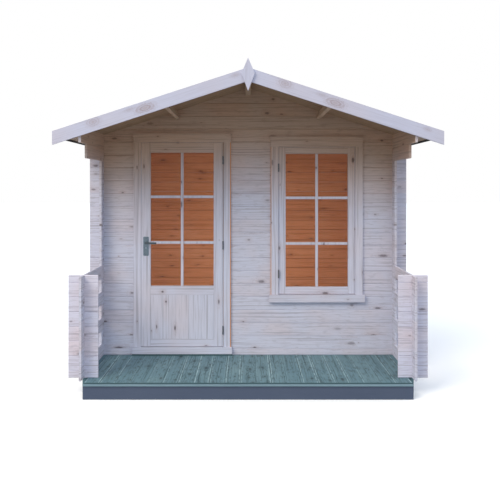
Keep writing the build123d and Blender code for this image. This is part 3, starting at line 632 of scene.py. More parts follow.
# Painted shade: the warm, darker tint that timber under the roof overhang takes.
ROOF_SHADE_TINT = (0.880, 0.618, 0.382)


@dataclass(frozen=True)
class Knots:
    """How often a timber shows knots, and how large they are, in metres."""

    spacing: float
    row: float
    radius: float
    share: float


LOG_KNOTS = Knots(0.34, LOG_PITCH, 0.0115, 0.60)
TRIM_KNOTS = Knots(0.40, 0.066, 0.0085, 0.40)
BOARD_KNOTS = Knots(0.26, 0.119, 0.0105, 0.55)
DECK_KNOTS = Knots(0.22, 0.119, 0.0125, 0.85)
RAKE_KNOTS = Knots(0.80, 0.098, 0.0120, 0.10)
PANEL_KNOTS = Knots(0.40, 0.066, 0.0070, 0.14)


@dataclass(frozen=True)
class KnotPlace:
    """One knot's place along and across its timber, its radius, and how much longer than wide it is."""

    along: float
    across: float
    radius: float
    stretch: float


@dataclass(frozen=True)
class RoofShade:
    """Painted shade under the roof overhang: a warm, darker tint laid over timber in place of the roof's
    shade.

    Attributes:
        heights: Heights between which it comes in, in metres.
        fall: How much lower it reaches for each metre from the middle, as far as the side walls.
    """

    heights: Span
    fall: float = 0.0


# Painted shade under the roof overhang: heights for the front wall, the side walls, the eaves logs and the
# glazing bars.
FRONT_ROOF_SHADE = RoofShade((1.40, 2.15), 0.16)
SIDE_ROOF_SHADE = RoofShade((1.40, 2.15))
EAVES_ROOF_SHADE = RoofShade((1.55, 2.00))
BAR_ROOF_SHADE = RoofShade((1.45, 2.30))


@dataclass(frozen=True)
class EdgeWear:
    """Long edges of boards that feet and weather have worn.

    Attributes:
        colour: The worn colour.
        inner: Places across a board, 0 at its middle and 1 at its edge, between which the wear comes in.
        outer: The places between which it ends.
        luck: Chance numbers between which an edge goes from spared to worn.
        fine: Fine streaks between which the wear comes through.
        speck: Specks between which it comes through.
    """

    colour: Colour
    inner: Span = (0.79, 0.84)
    outer: Span = (0.92, 0.87)
    luck: Span = (0.05, 0.8)
    fine: Span = (0.25, 0.50)
    speck: Span = (0.75, 0.45)

    def draw(self, sketch: Sketch, colour: Socket, figure: Sockets, chance: Value) -> Socket:
        """Lighten the boards' edges.

        Args:
            sketch: The material's tree.
            colour: The colour so far.
            figure: The timber's streaks and specks.
            chance: The chance number of the board.

        Returns:
            The worn colour.
        """
        side = sketch.node("ShaderNodeAttribute", attribute_name="board_side").outputs["Fac"]
        near = sketch.math("ABSOLUTE", side)
        edge = sketch.math("MULTIPLY", sketch.rise(near, *self.inner), sketch.rise(near, *self.outer))
        one_side = sketch.chance(sketch.math("ADD", chance, sketch.math("SIGN", side)))
        edge = sketch.math("MULTIPLY", edge, sketch.rise(one_side, *self.luck))
        broken = sketch.math("MULTIPLY", sketch.rise(figure["Fine"], *self.fine),
                             sketch.rise(figure["Speck"], *self.speck))
        return sketch.mix(sketch.math("MULTIPLY", edge, broken), colour, self.colour)


WORN_STAIN = EdgeWear((0.400, 0.545, 0.585))


@dataclass(frozen=True)
class Finish:
    """A surface finish, built once as a material of its name and then shared."""

    name: str

    def material(self) -> bpy.types.Material:
        """Build the finish, or find it if it was built before.

        Returns:
            The material.
        """
        found = bpy.data.materials.get(self.name)
        if found:
            return found
        made = bpy.data.materials.new(self.name)
        made.use_nodes = True
        self.draw(Sketch(made.node_tree), made.node_tree.nodes["Principled BSDF"])
        return made

    def draw(self, sketch: Sketch, shader: Node) -> None:
        """Draw the finish's nodes, which each kind of finish does in its own way."""
        raise NotImplementedError


@dataclass(frozen=True)
class Timber(Finish):
    """A stained or bare timber finish.

    Attributes:
        grain: How the timber lies.
        shades: Its colours.
        knots: Its scattered knots.
        tone: What one even tone covers.
        course_start: Height of the lowest course's lower edge, for a log wall.
        bare_room: The room's left, right, front and back, between which the timber is bare pine.
        bare_strips: X spans of edges that were cut after staining and are bare.
        roof_shade: Painted shade under the roof overhang, a warm darker tint over the timber.
        lit_end: The Y span of end faces that daylight reaches past the roof, where the painted shade is
            lighter.
        lit_share: How much of the painted shade it takes off them.
        shaded_ends: The Y span of end faces darkened as painted shade, the shadow in the gap behind the
            nosing.
        shaded_foot: Height below which the timber takes the deck stain's dark colour, as a painted shadow at
            its foot.
        lone_knots: Knots with places of their own.
        rails: The X span in which the timber lies across instead, as a door's rails do.
        worn_edges: The wear on a board's long edges.
        streak_share: How strongly the streaks show.
        speck_share: How strongly short dark specks show.
        roughness: How dull the surface is.
        piece_chance: The chance number of a whole piece.
        chance_slide: How far the figure slides along the timber from log to log, in metres.
        blush_least: The least share of blush in a patch.
        blush_span: How much more of it a log may have.
        fine_share: How strongly the fine streaks show.
        halo_share: How strongly the halos show.
        knot_share: How strongly the knots show.
        joint_share: How strongly the joints show.
        streak_rise: The noise between which the broad streaks come in.
        fine_rise: The same of the fine streaks.
        speck_rise: The same of the specks.
        dull_span: How much the dullness varies with the streaks.
        streak_relief: How far the broad streaks stand out.
        fine_relief: How far the fine streaks do.
        knot_relief: How far the knots do, below 0 where they are sunk.
        relief: How all that relief shows.
    """

    grain: Grain
    shades: Shades
    knots: Knots
    tone: Tone = Tone.PIECE
    course_start: float = 0.0
    bare_room: Plan | None = None
    bare_strips: tuple[Span, ...] = ()
    roof_shade: RoofShade | None = None
    lit_end: Span | None = None
    lit_share: float = 0.6
    shaded_ends: Span | None = None
    shaded_foot: float | None = None
    lone_knots: tuple[KnotPlace, ...] = ()
    rails: Span | None = None
    worn_edges: EdgeWear | None = None
    streak_share: float = 0.75
    speck_share: float = 0.0
    roughness: float = 0.62
    piece_chance: float = 0.5
    chance_slide: float = 19.0
    blush_least: float = 0.2
    blush_span: float = 0.8
    fine_share: float = 0.4
    halo_share: float = 0.5
    knot_share: float = 0.9
    joint_share: float = 0.55
    streak_rise: Span = (0.50, 0.72)
    fine_rise: Span = (0.48, 0.72)
    speck_rise: Span = (0.53, 0.68)
    dull_span: float = 0.2
    streak_relief: float = 0.8
    fine_relief: float = 0.6
    knot_relief: float = -0.5
    relief: Relief = Relief(0.35, 0.0012)

    def draw(self, sketch: Sketch, shader: Node) -> None:
        """Draw the timber's colour, dullness and relief.

        Args:
            sketch: The material's tree.
            shader: Its shader.
        """
        point = sketch.node("ShaderNodeTexCoord").outputs["Object"]
        position = sketch.separate(point)
        along, across, depth = self._axes(sketch, point, position)
        chance, joint = self._tone(sketch, position)
        if self.tone is Tone.COURSE:
            across = sketch.math("SUBTRACT", position["Z"], self.course_start)
        figure = TIMBER_FIGURE.place(
            sketch, Along=sketch.math("MULTIPLY_ADD", chance, self.chance_slide, along), Across=across,
            Depth=depth, Knot_Spacing=self.knots.spacing, Knot_Row=self.knots.row,
            Knot_Radius=self.knots.radius, Knot_Share=self.knots.share,
        )
        self._add_knots(sketch, figure, along, across)
        patch = MOTTLE.place(sketch, **position)["Patch"]
        colour = self._stain(sketch, self.shades, figure, patch, chance, joint)
        # Painted shade: a warm, darker tint on timber under the roof overhang.
        if self.roof_shade:
            colour = sketch.mix(self._roof_shade_mask(sketch, position), colour, ROOF_SHADE_TINT, "MULTIPLY")
        bare = self._bare(sketch, position)
        if bare is not None:
            colour = sketch.mix(bare, colour, self._stain(sketch, BARE_PINE, figure, patch, chance, joint))
        if self.worn_edges:
            colour = self.worn_edges.draw(sketch, colour, figure, chance)
        # Painted shade: end faces in the gap behind the nosing, darkened as its shadow.
        if self.shaded_ends:
            colour = sketch.mix(sketch.within(position["Y"], *self.shaded_ends), colour, self.shades.halo)
        # Painted shadow: the foot darkened like the shadow of a gap above the deck.
        if self.shaded_foot:
            foot = sketch.math("LESS_THAN", position["Z"], self.shaded_foot)
            colour = sketch.mix(foot, colour, DECK_STAIN.halo)
        dull = sketch.math("MULTIPLY_ADD", figure["Streak"], self.dull_span,
                           self.roughness - self.dull_span / 2)
        sketch.fill(shader, Base_Color=colour, Roughness=dull)
        height = sketch.math("MULTIPLY", figure["Streak"], self.streak_relief)
        height = sketch.math("MULTIPLY_ADD", figure["Fine"], self.fine_relief, height)
        height = sketch.math("MULTIPLY_ADD", figure["Knot"], self.knot_relief, height)
        sketch.bump(shader, height, self.relief)

    def _axes(self, sketch: Sketch, point: Socket,
              position: Sockets) -> tuple[Value, Value, Value]:
        """Places along, across and into the timber.

        Args:
            sketch: The material's tree.
            point: The place on the piece.
            position: The same place by axis name.

        Returns:
            The three places.
        """
        *names, tilt = self.grain.value
        if tilt:
            turn = sketch.node("ShaderNodeMapping")
            sketch.fill(turn, Vector=point, Rotation=(0.0, tilt * ROOF_PITCH, 0.0))
            position = sketch.separate(turn.outputs["Vector"])
        along, across, depth = (position[name] for name in names)
        if self.rails:
            across_rail = sketch.within(position["X"], *self.rails)
            offset = sketch.math("MULTIPLY", sketch.math("SUBTRACT", across, along), across_rail)
            return sketch.math("ADD", along, offset), sketch.math("SUBTRACT", across, offset), depth
        return along, across, depth

    def _tone(self, sketch: Sketch, position: Sockets) -> tuple[Value, Socket | None]:
        """A chance number for the log, board or piece, and the shade of its joints.

        Args:
            sketch: The material's tree.
            position: The place on the piece by axis name.

        Returns:
            The chance number, and the joints where there are any.
        """
        if self.tone is Tone.COURSE:
            lines = COURSE_LINES.place(sketch, Height=position["Z"], Start=self.course_start)
            return lines["Chance"], lines["Joint"]
        if self.tone is Tone.BOARD:
            return sketch.node("ShaderNodeAttribute", attribute_name="board_chance").outputs["Fac"], None
        return self.piece_chance, None

    def _stain(self, sketch: Sketch, shades: Shades, figure: Sockets, patch: Socket,
               chance: Value, joint: Socket | None) -> Socket:
        """Lay one timber's colours over its figure.

        Args:
            sketch: The material's tree.
            shades: The colours.
            figure: The timber's streaks, knots and halos.
            patch: Patches of uneven cover.
            chance: The chance number of the log, board or piece.
            joint: Where two courses meet.

        Returns:
            The colour.
        """
        if self.tone is Tone.PIECE:
            cover = self.blush_least + self.blush_span * self.piece_chance
        else:
            cover = sketch.math("MULTIPLY_ADD", chance, self.blush_span, self.blush_least)
        layers = [
            (sketch.rise(figure["Streak"], *self.streak_rise), self.streak_share, shades.streak),
            (sketch.rise(figure["Fine"], *self.fine_rise), self.fine_share, shades.streak),
            (figure["Halo"], self.halo_share, shades.halo),
            (figure["Knot"], self.knot_share, shades.knot),
        ]
        if self.speck_share:
            specks = sketch.rise(figure["Speck"], *self.speck_rise)
            layers.append((specks, self.speck_share, shades.streak))
        if joint is not None:
            layers.append((joint, self.joint_share, shades.joint))
        colour = sketch.mix(sketch.math("MULTIPLY", patch, cover), shades.body, shades.blush)
        for mask, share, shade in layers:
            colour = sketch.mix(sketch.math("MULTIPLY", mask, share), colour, shade)
        return colour

    def _add_knots(self, sketch: Sketch, figure: Sockets, along: Value, across: Value) -> None:
        """Add the knots that have places of their own to the figure.

        Args:
            sketch: The material's tree.
            figure: The timber's figure, whose knots and halos gain them.
            along: The place along the timber.
            across: The place across it.
        """
        for knot in self.lone_knots:
            made = LONE_KNOT.place(sketch, Along=along, Across=across, Middle_Along=knot.along,
                                   Middle_Across=knot.across, Radius=knot.radius, Stretch=knot.stretch)
            for name, socket in made.items():
                figure[name] = sketch.math("MAXIMUM", figure[name], socket)

    def _roof_shade_mask(self, sketch: Sketch, position: Sockets) -> Socket:
        """Where the painted shade under the roof overhang lies on the timber.

        Args:
            sketch: The material's tree.
            position: The place on the piece by axis name.

        Returns:
            A mask.
        """
        aside = sketch.math("ABSOLUTE", position["X"])
        level = sketch.math("MULTIPLY_ADD", aside, self.roof_shade.fall, position["Z"])
        shade_mask = sketch.rise(level, *self.roof_shade.heights)
        if self.roof_shade.fall:
            shade_mask = sketch.math("MULTIPLY", shade_mask, sketch.math("LESS_THAN", aside, WALL_HALF))
        # End faces that daylight reaches past the roof take less of the painted shade.
        if self.lit_end is None:
            return shade_mask
        end = sketch.within(position["Y"], *self.lit_end)
        return sketch.math("MULTIPLY", shade_mask, sketch.math("MULTIPLY_ADD", end, -self.lit_share, 1.0))

    def _bare(self, sketch: Sketch, position: Sockets) -> Socket | None:
        """Where the timber is bare pine.

        Args:
            sketch: The material's tree.
            position: The place on the piece by axis name.

        Returns:
            A mask, or None where all of it is stained.
        """
        bare = None
        if self.bare_room:
            left, right, front, back = self.bare_room
            bare = sketch.math("MULTIPLY", sketch.within(position["X"], left, right),
                               sketch.within(position["Y"], front, back))
        for left, right in self.bare_strips:
            strip = sketch.within(position["X"], left, right)
            bare = strip if bare is None else sketch.math("MAXIMUM", bare, strip)
        return bare


@dataclass(frozen=True)
class Paint(Finish):
    """An even paint coat with patchy cover and brush strokes.

    Attributes:
        body: The coat's colour.
        patch: Its colour where the cover is thin.
        roughness: How dull it is.
        cap: Colour of the tops and front ends over which another coat runs.
        cap_level: Height above which the cap's colour shows, in metres.
        cap_side: Distance from the middle beyond which the front ends have it.
        cap_front: Y in front of which they have it.
        patch_share: How strongly the thin patches show.
        stroke_pull: Scales of the brush strokes.
        stroke_share: How strongly the strokes show.
        dull_span: How much the dullness varies with them.
        relief: How their relief shows.
    """

    body: Colour
    patch: Colour
    roughness: float
    cap: Colour
    cap_level: float
    cap_side: float
    cap_front: float
    patch_share: float = 0.4
    stroke_pull: Pull = (3.0, 3.0, 160.0)
    stroke_share: float = 0.5
    dull_span: float = 0.2
    relief: Relief = Relief(0.3, 0.001)

    def draw(self, sketch: Sketch, shader: Node) -> None:
        """Draw the coat's colour, dullness and strokes.

        Args:
            sketch: The material's tree.
            shader: Its shader.
        """
        position = sketch.separate(sketch.node("ShaderNodeTexCoord").outputs["Object"])
        thin = sketch.math("MULTIPLY", MOTTLE.place(sketch, **position)["Patch"], self.patch_share)
        strokes = sketch.noise(sketch.pulled(tuple(position.values()), self.stroke_pull), 1.0, detail=3.0)
        share = sketch.math("MULTIPLY_ADD", strokes, self.stroke_share, thin)
        beside = sketch.math("GREATER_THAN", sketch.math("ABSOLUTE", position["X"]), self.cap_side)
        end = sketch.math("MULTIPLY", beside, sketch.math("LESS_THAN", position["Y"], self.cap_front))
        capped = sketch.math("MAXIMUM", end, sketch.math("GREATER_THAN", position["Z"], self.cap_level))
        colour = sketch.mix(capped, sketch.mix(share, self.body, self.patch), self.cap)
        dull = sketch.math("MULTIPLY_ADD", strokes, self.dull_span, self.roughness)
        sketch.fill(shader, Base_Color=colour, Roughness=dull)
        sketch.bump(shader, strokes, self.relief)


@dataclass(frozen=True)
class Felt(Finish):
    """Roofing felt with a mineral face.

    Attributes:
        body: The felt's colour.
        grit: The colour of its mineral grit.
        worn: Its colour where it has faded.
        fade_share: How strongly the faded patches show.
        grit_scale: The scale of the grit.
        grit_rise: The noise between which the grit comes in.
        roughness: How dull the felt is.
        dull_span: How much duller the grit is.
        relief: How the grit's relief shows.
    """

    body: Colour
    grit: Colour
    worn: Colour
    fade_share: float = 0.5
    grit_scale: float = 620.0
    grit_rise: Span = (0.52, 0.72)
    roughness: float = 0.78
    dull_span: float = 0.2
    relief: Relief = Relief(0.6, 0.0015)

    def draw(self, sketch: Sketch, shader: Node) -> None:
        """Draw the felt's grit and its faded patches.

        Args:
            sketch: The material's tree.
            shader: Its shader.
        """
        point = sketch.node("ShaderNodeTexCoord").outputs["Object"]
        patch = MOTTLE.place(sketch, **sketch.separate(point))["Patch"]
        faded = sketch.math("MULTIPLY", patch, self.fade_share)
        grit = sketch.noise(point, self.grit_scale)
        colour = sketch.mix(sketch.rise(grit, *self.grit_rise), self.body, self.grit)
        dull = sketch.math("MULTIPLY_ADD", grit, self.dull_span, self.roughness)
        sketch.fill(shader, Base_Color=sketch.mix(faded, colour, self.worn), Roughness=dull)
        sketch.bump(shader, grit, self.relief)


@dataclass(frozen=True)
class Metal(Finish):
    """Plated or satin steel with small scuffs.

    Attributes:
        body: The metal's colour.
        dull: Its colour where it is scuffed.
        roughness: How dull it is.
        scuff_rise: The noise between which a scuff comes in.
        scuff_span: How much duller a scuff is.
        metallic: How far it looks like bare metal.
    """

    body: Colour
    dull: Colour
    roughness: float
    scuff_rise: Span = (0.45, 0.75)
    scuff_span: float = 0.25
    metallic: float = 0.85

    def draw(self, sketch: Sketch, shader: Node) -> None:
        """Draw the metal and its scuffs.

        Args:
            sketch: The material's tree.
            shader: Its shader.
        """
        point = sketch.node("ShaderNodeTexCoord").outputs["Object"]
        fleck = MOTTLE.place(sketch, **sketch.separate(point))["Fleck"]
        scuff = sketch.rise(fleck, *self.scuff_rise)
        worn = sketch.math("MULTIPLY_ADD", scuff, self.scuff_span, self.roughness)
        colour = sketch.mix(scuff, self.body, self.dull)
        sketch.fill(shader, Base_Color=colour, Roughness=worn, Metallic=self.metallic)


@dataclass(frozen=True)
class PaneGlass(Finish):
    """Clear float glass: its tint, how strongly it bends light, and how dull a film of dust makes it."""

    tint: Colour
    bending: float = 1.2
    film: float = 0.004

    def draw(self, sketch: Sketch, shader: Node) -> None:
        """Draw the glass, clear to light and shadow rays.

        Args:
            sketch: The material's tree.
            shader: Its shader.
        """
        point = sketch.node("ShaderNodeTexCoord").outputs["Object"]
        dust = sketch.math("MULTIPLY", MOTTLE.place(sketch, **sketch.separate(point))["Patch"], self.film)
        sketch.fill(shader, Base_Color=rgba(self.tint), Roughness=dust, IOR=self.bending)
        sketch.fill(shader, Transmission_Weight=1.0)
        path = sketch.node("ShaderNodeLightPath")
        passing = sketch.math("MAXIMUM", path.outputs["Is Shadow Ray"], path.outputs["Is Diffuse Ray"])
        clear = sketch.node("ShaderNodeBsdfTransparent")
        blend = sketch.node("ShaderNodeMixShader")
        for socket, value in zip(blend.inputs, (passing, shader.outputs["BSDF"], clear.outputs["BSDF"])):
            sketch.feed(socket, value)
        sketch.fill(sketch.tree.nodes["Material Output"], Surface=blend.outputs["Shader"])


MINERAL_FELT = Felt("mineral felt", (0.040, 0.043, 0.046), (0.115, 0.122, 0.125), (0.075, 0.080, 0.080))
SCREW_STEEL = Metal("screw steel", (0.22, 0.25, 0.26), (0.10, 0.12, 0.12), 0.50)
NAIL_ZINC = Metal("nail zinc", (0.42, 0.43, 0.44), (0.22, 0.23, 0.24), 0.45)
HINGE_STEEL = Metal("hinge steel", (0.110, 0.115, 0.125), (0.060, 0.062, 0.068), 0.42)
PLATE_STEEL = Metal("plate steel", (0.140, 0.180, 0.215), (0.080, 0.105, 0.135), 0.36)
LEVER_STEEL = Metal("lever steel", (0.075, 0.092, 0.108), (0.045, 0.056, 0.068), 0.32)
CLEAR_GLASS = PaneGlass("pane glass", (0.98, 0.98, 0.97))


def dress(finish: Finish, *nodes: str) -> None:
    """Give carried-over pieces their finish.

    Args:
        finish: The finish.
        nodes: The pieces' names in the frame.
    """
    for node in nodes:
        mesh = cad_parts[node].data
        mesh.materials.clear()
        mesh.materials.append(finish.material())
        LOGGER.info("finish %s on %s", finish.name, node)


def settle(piece: Piece, body: str, slot: str, *nodes: str) -> None:
    """Let a finished piece ride on its body.

    Args:
        piece: The piece, with its place in its mesh.
        body: The body that carries it.
        slot: The name of a finish; not used.
        nodes: Plain pieces of the frame that it stands for.
    """
    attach(piece, body)
    if nodes:
        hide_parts(*nodes)
    LOGGER.info("piece %s: %d faces on %s", piece.name, len(piece.data.polygons), body)


def new_piece(name: str, mesh: bpy.types.Mesh | None = None) -> Piece:
    """Add an object at the origin.

    Args:
        name: The object's name.
        mesh: Its mesh, or none for an empty one.

    Returns:
        The object.
    """
    piece = bpy.data.objects.new(name, mesh or bpy.data.meshes.new(name))
    bpy.context.scene.collection.objects.link(piece)
    return piece


def closed_piece(name: str, shape: bmesh.types.BMesh, finish: Finish) -> Piece:
    """Turn a closed shape into a piece whose faces point outwards.

    Args:
        name: The piece's name.
        shape: The shape, which is used up.
        finish: The finish.

    Returns:
        The piece.
    """
    mesh = bpy.data.meshes.new(name)
    bmesh.ops.recalc_face_normals(shape, faces=shape.faces)
    shape.to_mesh(mesh)
    shape.free()
    mesh.materials.append(finish.material())
    return new_piece(name, mesh)


@dataclass
class Blocks:
    """A piece made of eased timber sections, gathered in one mesh.

    Attributes:
        name: The piece's name.
        ease: The rounding of the sections' edges, in metres.
        ease_limit: The most that it may take of a section's thinnest side.
        ease_steps: Steps of the rounding.
        roundness: How full the rounding is.
        shape: The sections so far.
    """

    name: str
    ease: float
    ease_limit: float = 0.4
    ease_steps: int = 2
    roundness: float = 0.5
    shape: bmesh.types.BMesh = field(init=False, default_factory=bmesh.new)

    def add(self, low: Vector, high: Vector) -> None:
        """Add a section between two corners, with its edges rounded.

        Args:
            low: The lowest corner.
            high: The highest corner.
        """
        size = high - low
        place = Matrix.Translation((low + high) / 2) @ Matrix.Diagonal((*size, 1.0))
        made = bmesh.ops.create_cube(self.shape, size=1.0, matrix=place)
        edges = {edge for vertex in made["verts"] for edge in vertex.link_edges}
        ease = min(self.ease, min(size) * self.ease_limit)
        bmesh.ops.bevel(self.shape, geom=list(edges), offset=ease, segments=self.ease_steps, affect="EDGES",
                        profile=self.roundness)

    def finish(self, finish: Finish) -> Piece:
        """The sections as one piece."""
        return closed_piece(self.name, self.shape, finish)


@dataclass
class PlantedTree:
    """A Geometry Nodes tree with named inputs, and the way to run it on a piece.

    Attributes:
        name: The tree's name.
        inputs: Each input's name and kind.
        identifiers: The inputs' identifiers by name.
        sketch: The tree's nodes.
        given: The inputs' sockets by name.
    """

    name: str
    inputs: Kinds
    identifiers: dict[str, str] = field(init=False, default_factory=dict)
    sketch: Sketch = field(init=False)
    given: Sockets = field(init=False)

    def __post_init__(self) -> None:
        """Make the tree's sockets, and let the kind of tree draw its nodes."""
        tree = bpy.data.node_groups.new(self.name, "GeometryNodeTree")
        tree.interface.new_socket("Geometry", in_out="OUTPUT", socket_type="NodeSocketGeometry")
        for name, kind in self.inputs:
            socket = tree.interface.new_socket(name, in_out="INPUT", socket_type=f"NodeSocket{kind}")
            self.identifiers[name] = socket.identifier
        self.sketch = Sketch(tree)
        entry = self.sketch.node("NodeGroupInput")
        self.given = {name: entry.outputs[name] for name, _ in self.inputs}
        real = self.sketch.node("GeometryNodeRealizeInstances")
        self.sketch.fill(real, Geometry=self.draw())
        flat = self.sketch.node("GeometryNodeSetShadeSmooth")
        self.sketch.fill(flat, Geometry=real.outputs["Geometry"], Shade_Smooth=False)
        paint = self.sketch.node("GeometryNodeSetMaterial")
        self.sketch.fill(paint, Geometry=flat.outputs["Geometry"], Material=self.given["Material"])
        self.sketch.fill(self.sketch.node("NodeGroupOutput"), Geometry=paint.outputs["Geometry"])

    def draw(self) -> Socket:
        """Draw the copies, which each kind of tree does in its own way."""
        raise NotImplementedError

    def run(self, piece: Piece, **values: object) -> Piece:
        """Grow the tree on a piece.

        Args:
            piece: The piece to grow it on.
            values: The tree's inputs by name.

        Returns:
            The piece, with a plain mesh and no modifier.
        """
        modifier = piece.modifiers.new(self.name, "NODES")
        modifier.node_group = self.sketch.tree
        for name, value in values.items():
            modifier[self.identifiers[name]] = value
        graph = bpy.context.evaluated_depsgraph_get()
        grown = piece.evaluated_get(graph)
        mesh = bpy.data.meshes.new_from_object(grown, preserve_all_data_layers=True, depsgraph=graph)
        piece.modifiers.clear()
        piece.data = mesh
        mesh.name = piece.name
        return piece


@dataclass(frozen=True)
class Boarding:
    """How one row of boards is made, in metres.

    Attributes:
        name: The piece's name.
        count: How many boards it has.
        gap: The gap between two.
        ease: The rounding of their edges.
        seed: The seed of their differences.
        uneven: How far one may lie under the highest.
    """

    name: str
    count: int
    gap: float
    ease: float
    seed: int
    uneven: float = 0.0


@dataclass
class BoardRow(PlantedTree):
    """A row of boards laid side by side, each with its own chance number and its place across it."""

    name: str = "Row of boards"
    inputs: Kinds = (
        ("Length", "Float"), ("Width", "Float"), ("Thickness", "Float"), ("Gap", "Float"), ("Ease", "Float"),
        ("Uneven", "Float"), ("Count", "Int"), ("Seed", "Int"), ("Place", "Vector"), ("Turn", "Vector"),
        ("Material", "Material"),
    )

    def draw(self) -> Socket:
        """Sweep one eased board, copy it along the row, then turn and place the row.

        Returns:
            The row.
        """
        sketch, given = self.sketch, self.given
        dice = sketch.node("FunctionNodeRandomValue", data_type="FLOAT")
        chance = sketch.fill(dice, Seed=given["Seed"]).outputs[RANDOM_FLOAT_RESULT]
        span = sketch.math("MULTIPLY", sketch.math("SUBTRACT", given["Count"], 1.0), given["Width"])
        line = sketch.node("GeometryNodeMeshLine", mode="OFFSET", count_mode="TOTAL")
        sketch.fill(line, Count=given["Count"], Offset=sketch.combine(given["Width"], 0.0, 0.0),
                    Start_Location=sketch.combine(sketch.math("MULTIPLY", span, -0.5), 0.0, 0.0))
        copies = sketch.node("GeometryNodeInstanceOnPoints")
        sketch.fill(copies, Points=line.outputs["Mesh"], Instance=self._board())
        lift = sketch.math("MULTIPLY", sketch.math("SUBTRACT", chance, 1.0), given["Uneven"])
        sunk = sketch.node("GeometryNodeTranslateInstances")
        sketch.fill(sunk, Instances=copies.outputs["Instances"], Translation=sketch.combine(0.0, 0.0, lift))
        named = sketch.node("GeometryNodeStoreNamedAttribute", data_type="FLOAT", domain="INSTANCE")
        sketch.fill(named, Geometry=sunk.outputs["Instances"], Name="board_chance", Value=chance)
        turn = sketch.fill(sketch.node("FunctionNodeEulerToRotation"), Euler=given["Turn"])
        placed = sketch.node("GeometryNodeTransform")
        sketch.fill(placed, Geometry=named.outputs["Geometry"], Translation=given["Place"],
                    Rotation=turn.outputs["Rotation"])
        return placed.outputs["Geometry"]

    def _board(self) -> Socket:
        """Sweep one eased board, and note each point's place across it.

        Returns:
            The board.
        """
        sketch, given = self.sketch, self.given
        half = sketch.math("MULTIPLY", given["Length"], 0.5)
        path = sketch.node("GeometryNodeCurvePrimitiveLine")
        sketch.fill(path, Start=sketch.combine(0.0, sketch.math("MULTIPLY", half, -1.0), 0.0),
                    End=sketch.combine(0.0, half, 0.0))
        section = sketch.node("GeometryNodeCurvePrimitiveQuadrilateral")
        sketch.fill(section, Width=sketch.math("SUBTRACT", given["Width"], given["Gap"]),
                    Height=given["Thickness"])
        eased = sketch.node("GeometryNodeFilletCurve")
        sketch.fill(eased, Curve=section.outputs["Curve"], Radius=given["Ease"])
        sweep = sketch.node("GeometryNodeCurveToMesh")
        sketch.fill(sweep, Curve=path.outputs["Curve"], Profile_Curve=eased.outputs["Curve"], Fill_Caps=True)
        here = sketch.separate(sketch.node("GeometryNodeInputPosition").outputs["Position"])
        side = sketch.math("DIVIDE", here["X"], sketch.math("MULTIPLY", given["Width"], 0.5))
        board = sketch.node("GeometryNodeStoreNamedAttribute", data_type="FLOAT", domain="POINT")
        sketch.fill(board, Geometry=sweep.outputs["Mesh"], Name="board_side", Value=side)
        return board.outputs["Geometry"]

    def lay(self, row: Boarding, size: Vector | Place, middle: Vector, finish: Finish,
            turn: Place = (0.0, 0.0, 0.0)) -> Piece:
        """Lay a row of boards.

        Args:
            row: How the boards are made.
            size: The row's size across its boards, along them and through them.
            middle: Its middle.
            finish: The finish.
            turn: Its turn about the three axes.

        Returns:
            The row as one piece.
        """
        across, along, through = size
        return self.run(new_piece(row.name), Length=along, Width=across / row.count, Thickness=through,
                        Gap=row.gap, Ease=row.ease, Uneven=row.uneven, Count=row.count, Seed=row.seed,
                        Place=middle, Turn=turn, Material=finish.material())


@dataclass(frozen=True)
class Head:
    """A screw's or nail's head: its radius and how far it stands proud, in metres, and its finish."""

    radius: float
    crown: float
    finish: Finish


@dataclass
class FastenerField(PlantedTree):
    """Nail or screw heads on given points, each turned to face out of what it holds.

    Attributes:
        sides: How many sides a head has.
        top_share: The radius of a head's top as a share of its own.
    """

    name: str = "Field of fasteners"
    inputs: Kinds = (
        ("Points", "Geometry"), ("Radius", "Float"), ("Crown", "Float"), ("Material", "Material"),
    )
    sides: int = 10
    top_share: float = 0.6

    def draw(self) -> Socket:
        """Stand a low crowned head on every point.

        Returns:
            The heads.
        """
        sketch, given = self.sketch, self.given
        head = sketch.node("GeometryNodeMeshCone")
        top = sketch.math("MULTIPLY", given["Radius"], self.top_share)
        sketch.fill(head, Vertices=self.sides, Radius_Top=top, Radius_Bottom=given["Radius"],
                    Depth=given["Crown"])
        facing = sketch.node("GeometryNodeInputNamedAttribute", data_type="FLOAT_VECTOR")
        sketch.fill(facing, Name="facing")
        turn = sketch.node("FunctionNodeAlignRotationToVector", axis="Z")
        sketch.fill(turn, Vector=facing.outputs["Attribute"])
        copies = sketch.node("GeometryNodeInstanceOnPoints")
        sketch.fill(copies, Points=given["Points"], Instance=head.outputs["Mesh"],
                    Rotation=turn.outputs["Rotation"])
        return copies.outputs["Instances"]

    def drive(self, name: str, places: Spots, head: Head) -> Piece:
        """Drive fasteners at places.

        Args:
            name: The piece's name.
            places: Each head's place and the way that it faces.
            head: What each head is like.

        Returns:
            One piece with all the heads.
        """
        points = bpy.data.meshes.new(name)
        points.from_pydata([place for place, _ in places], [], [])
        facing = points.attributes.new("facing", "FLOAT_VECTOR", "POINT")
        facing.data.foreach_set("vector", [axis for _, way in places for axis in way])
        return self.run(new_piece(name, points), Radius=head.radius, Crown=head.crown,
                        Material=head.finish.material())


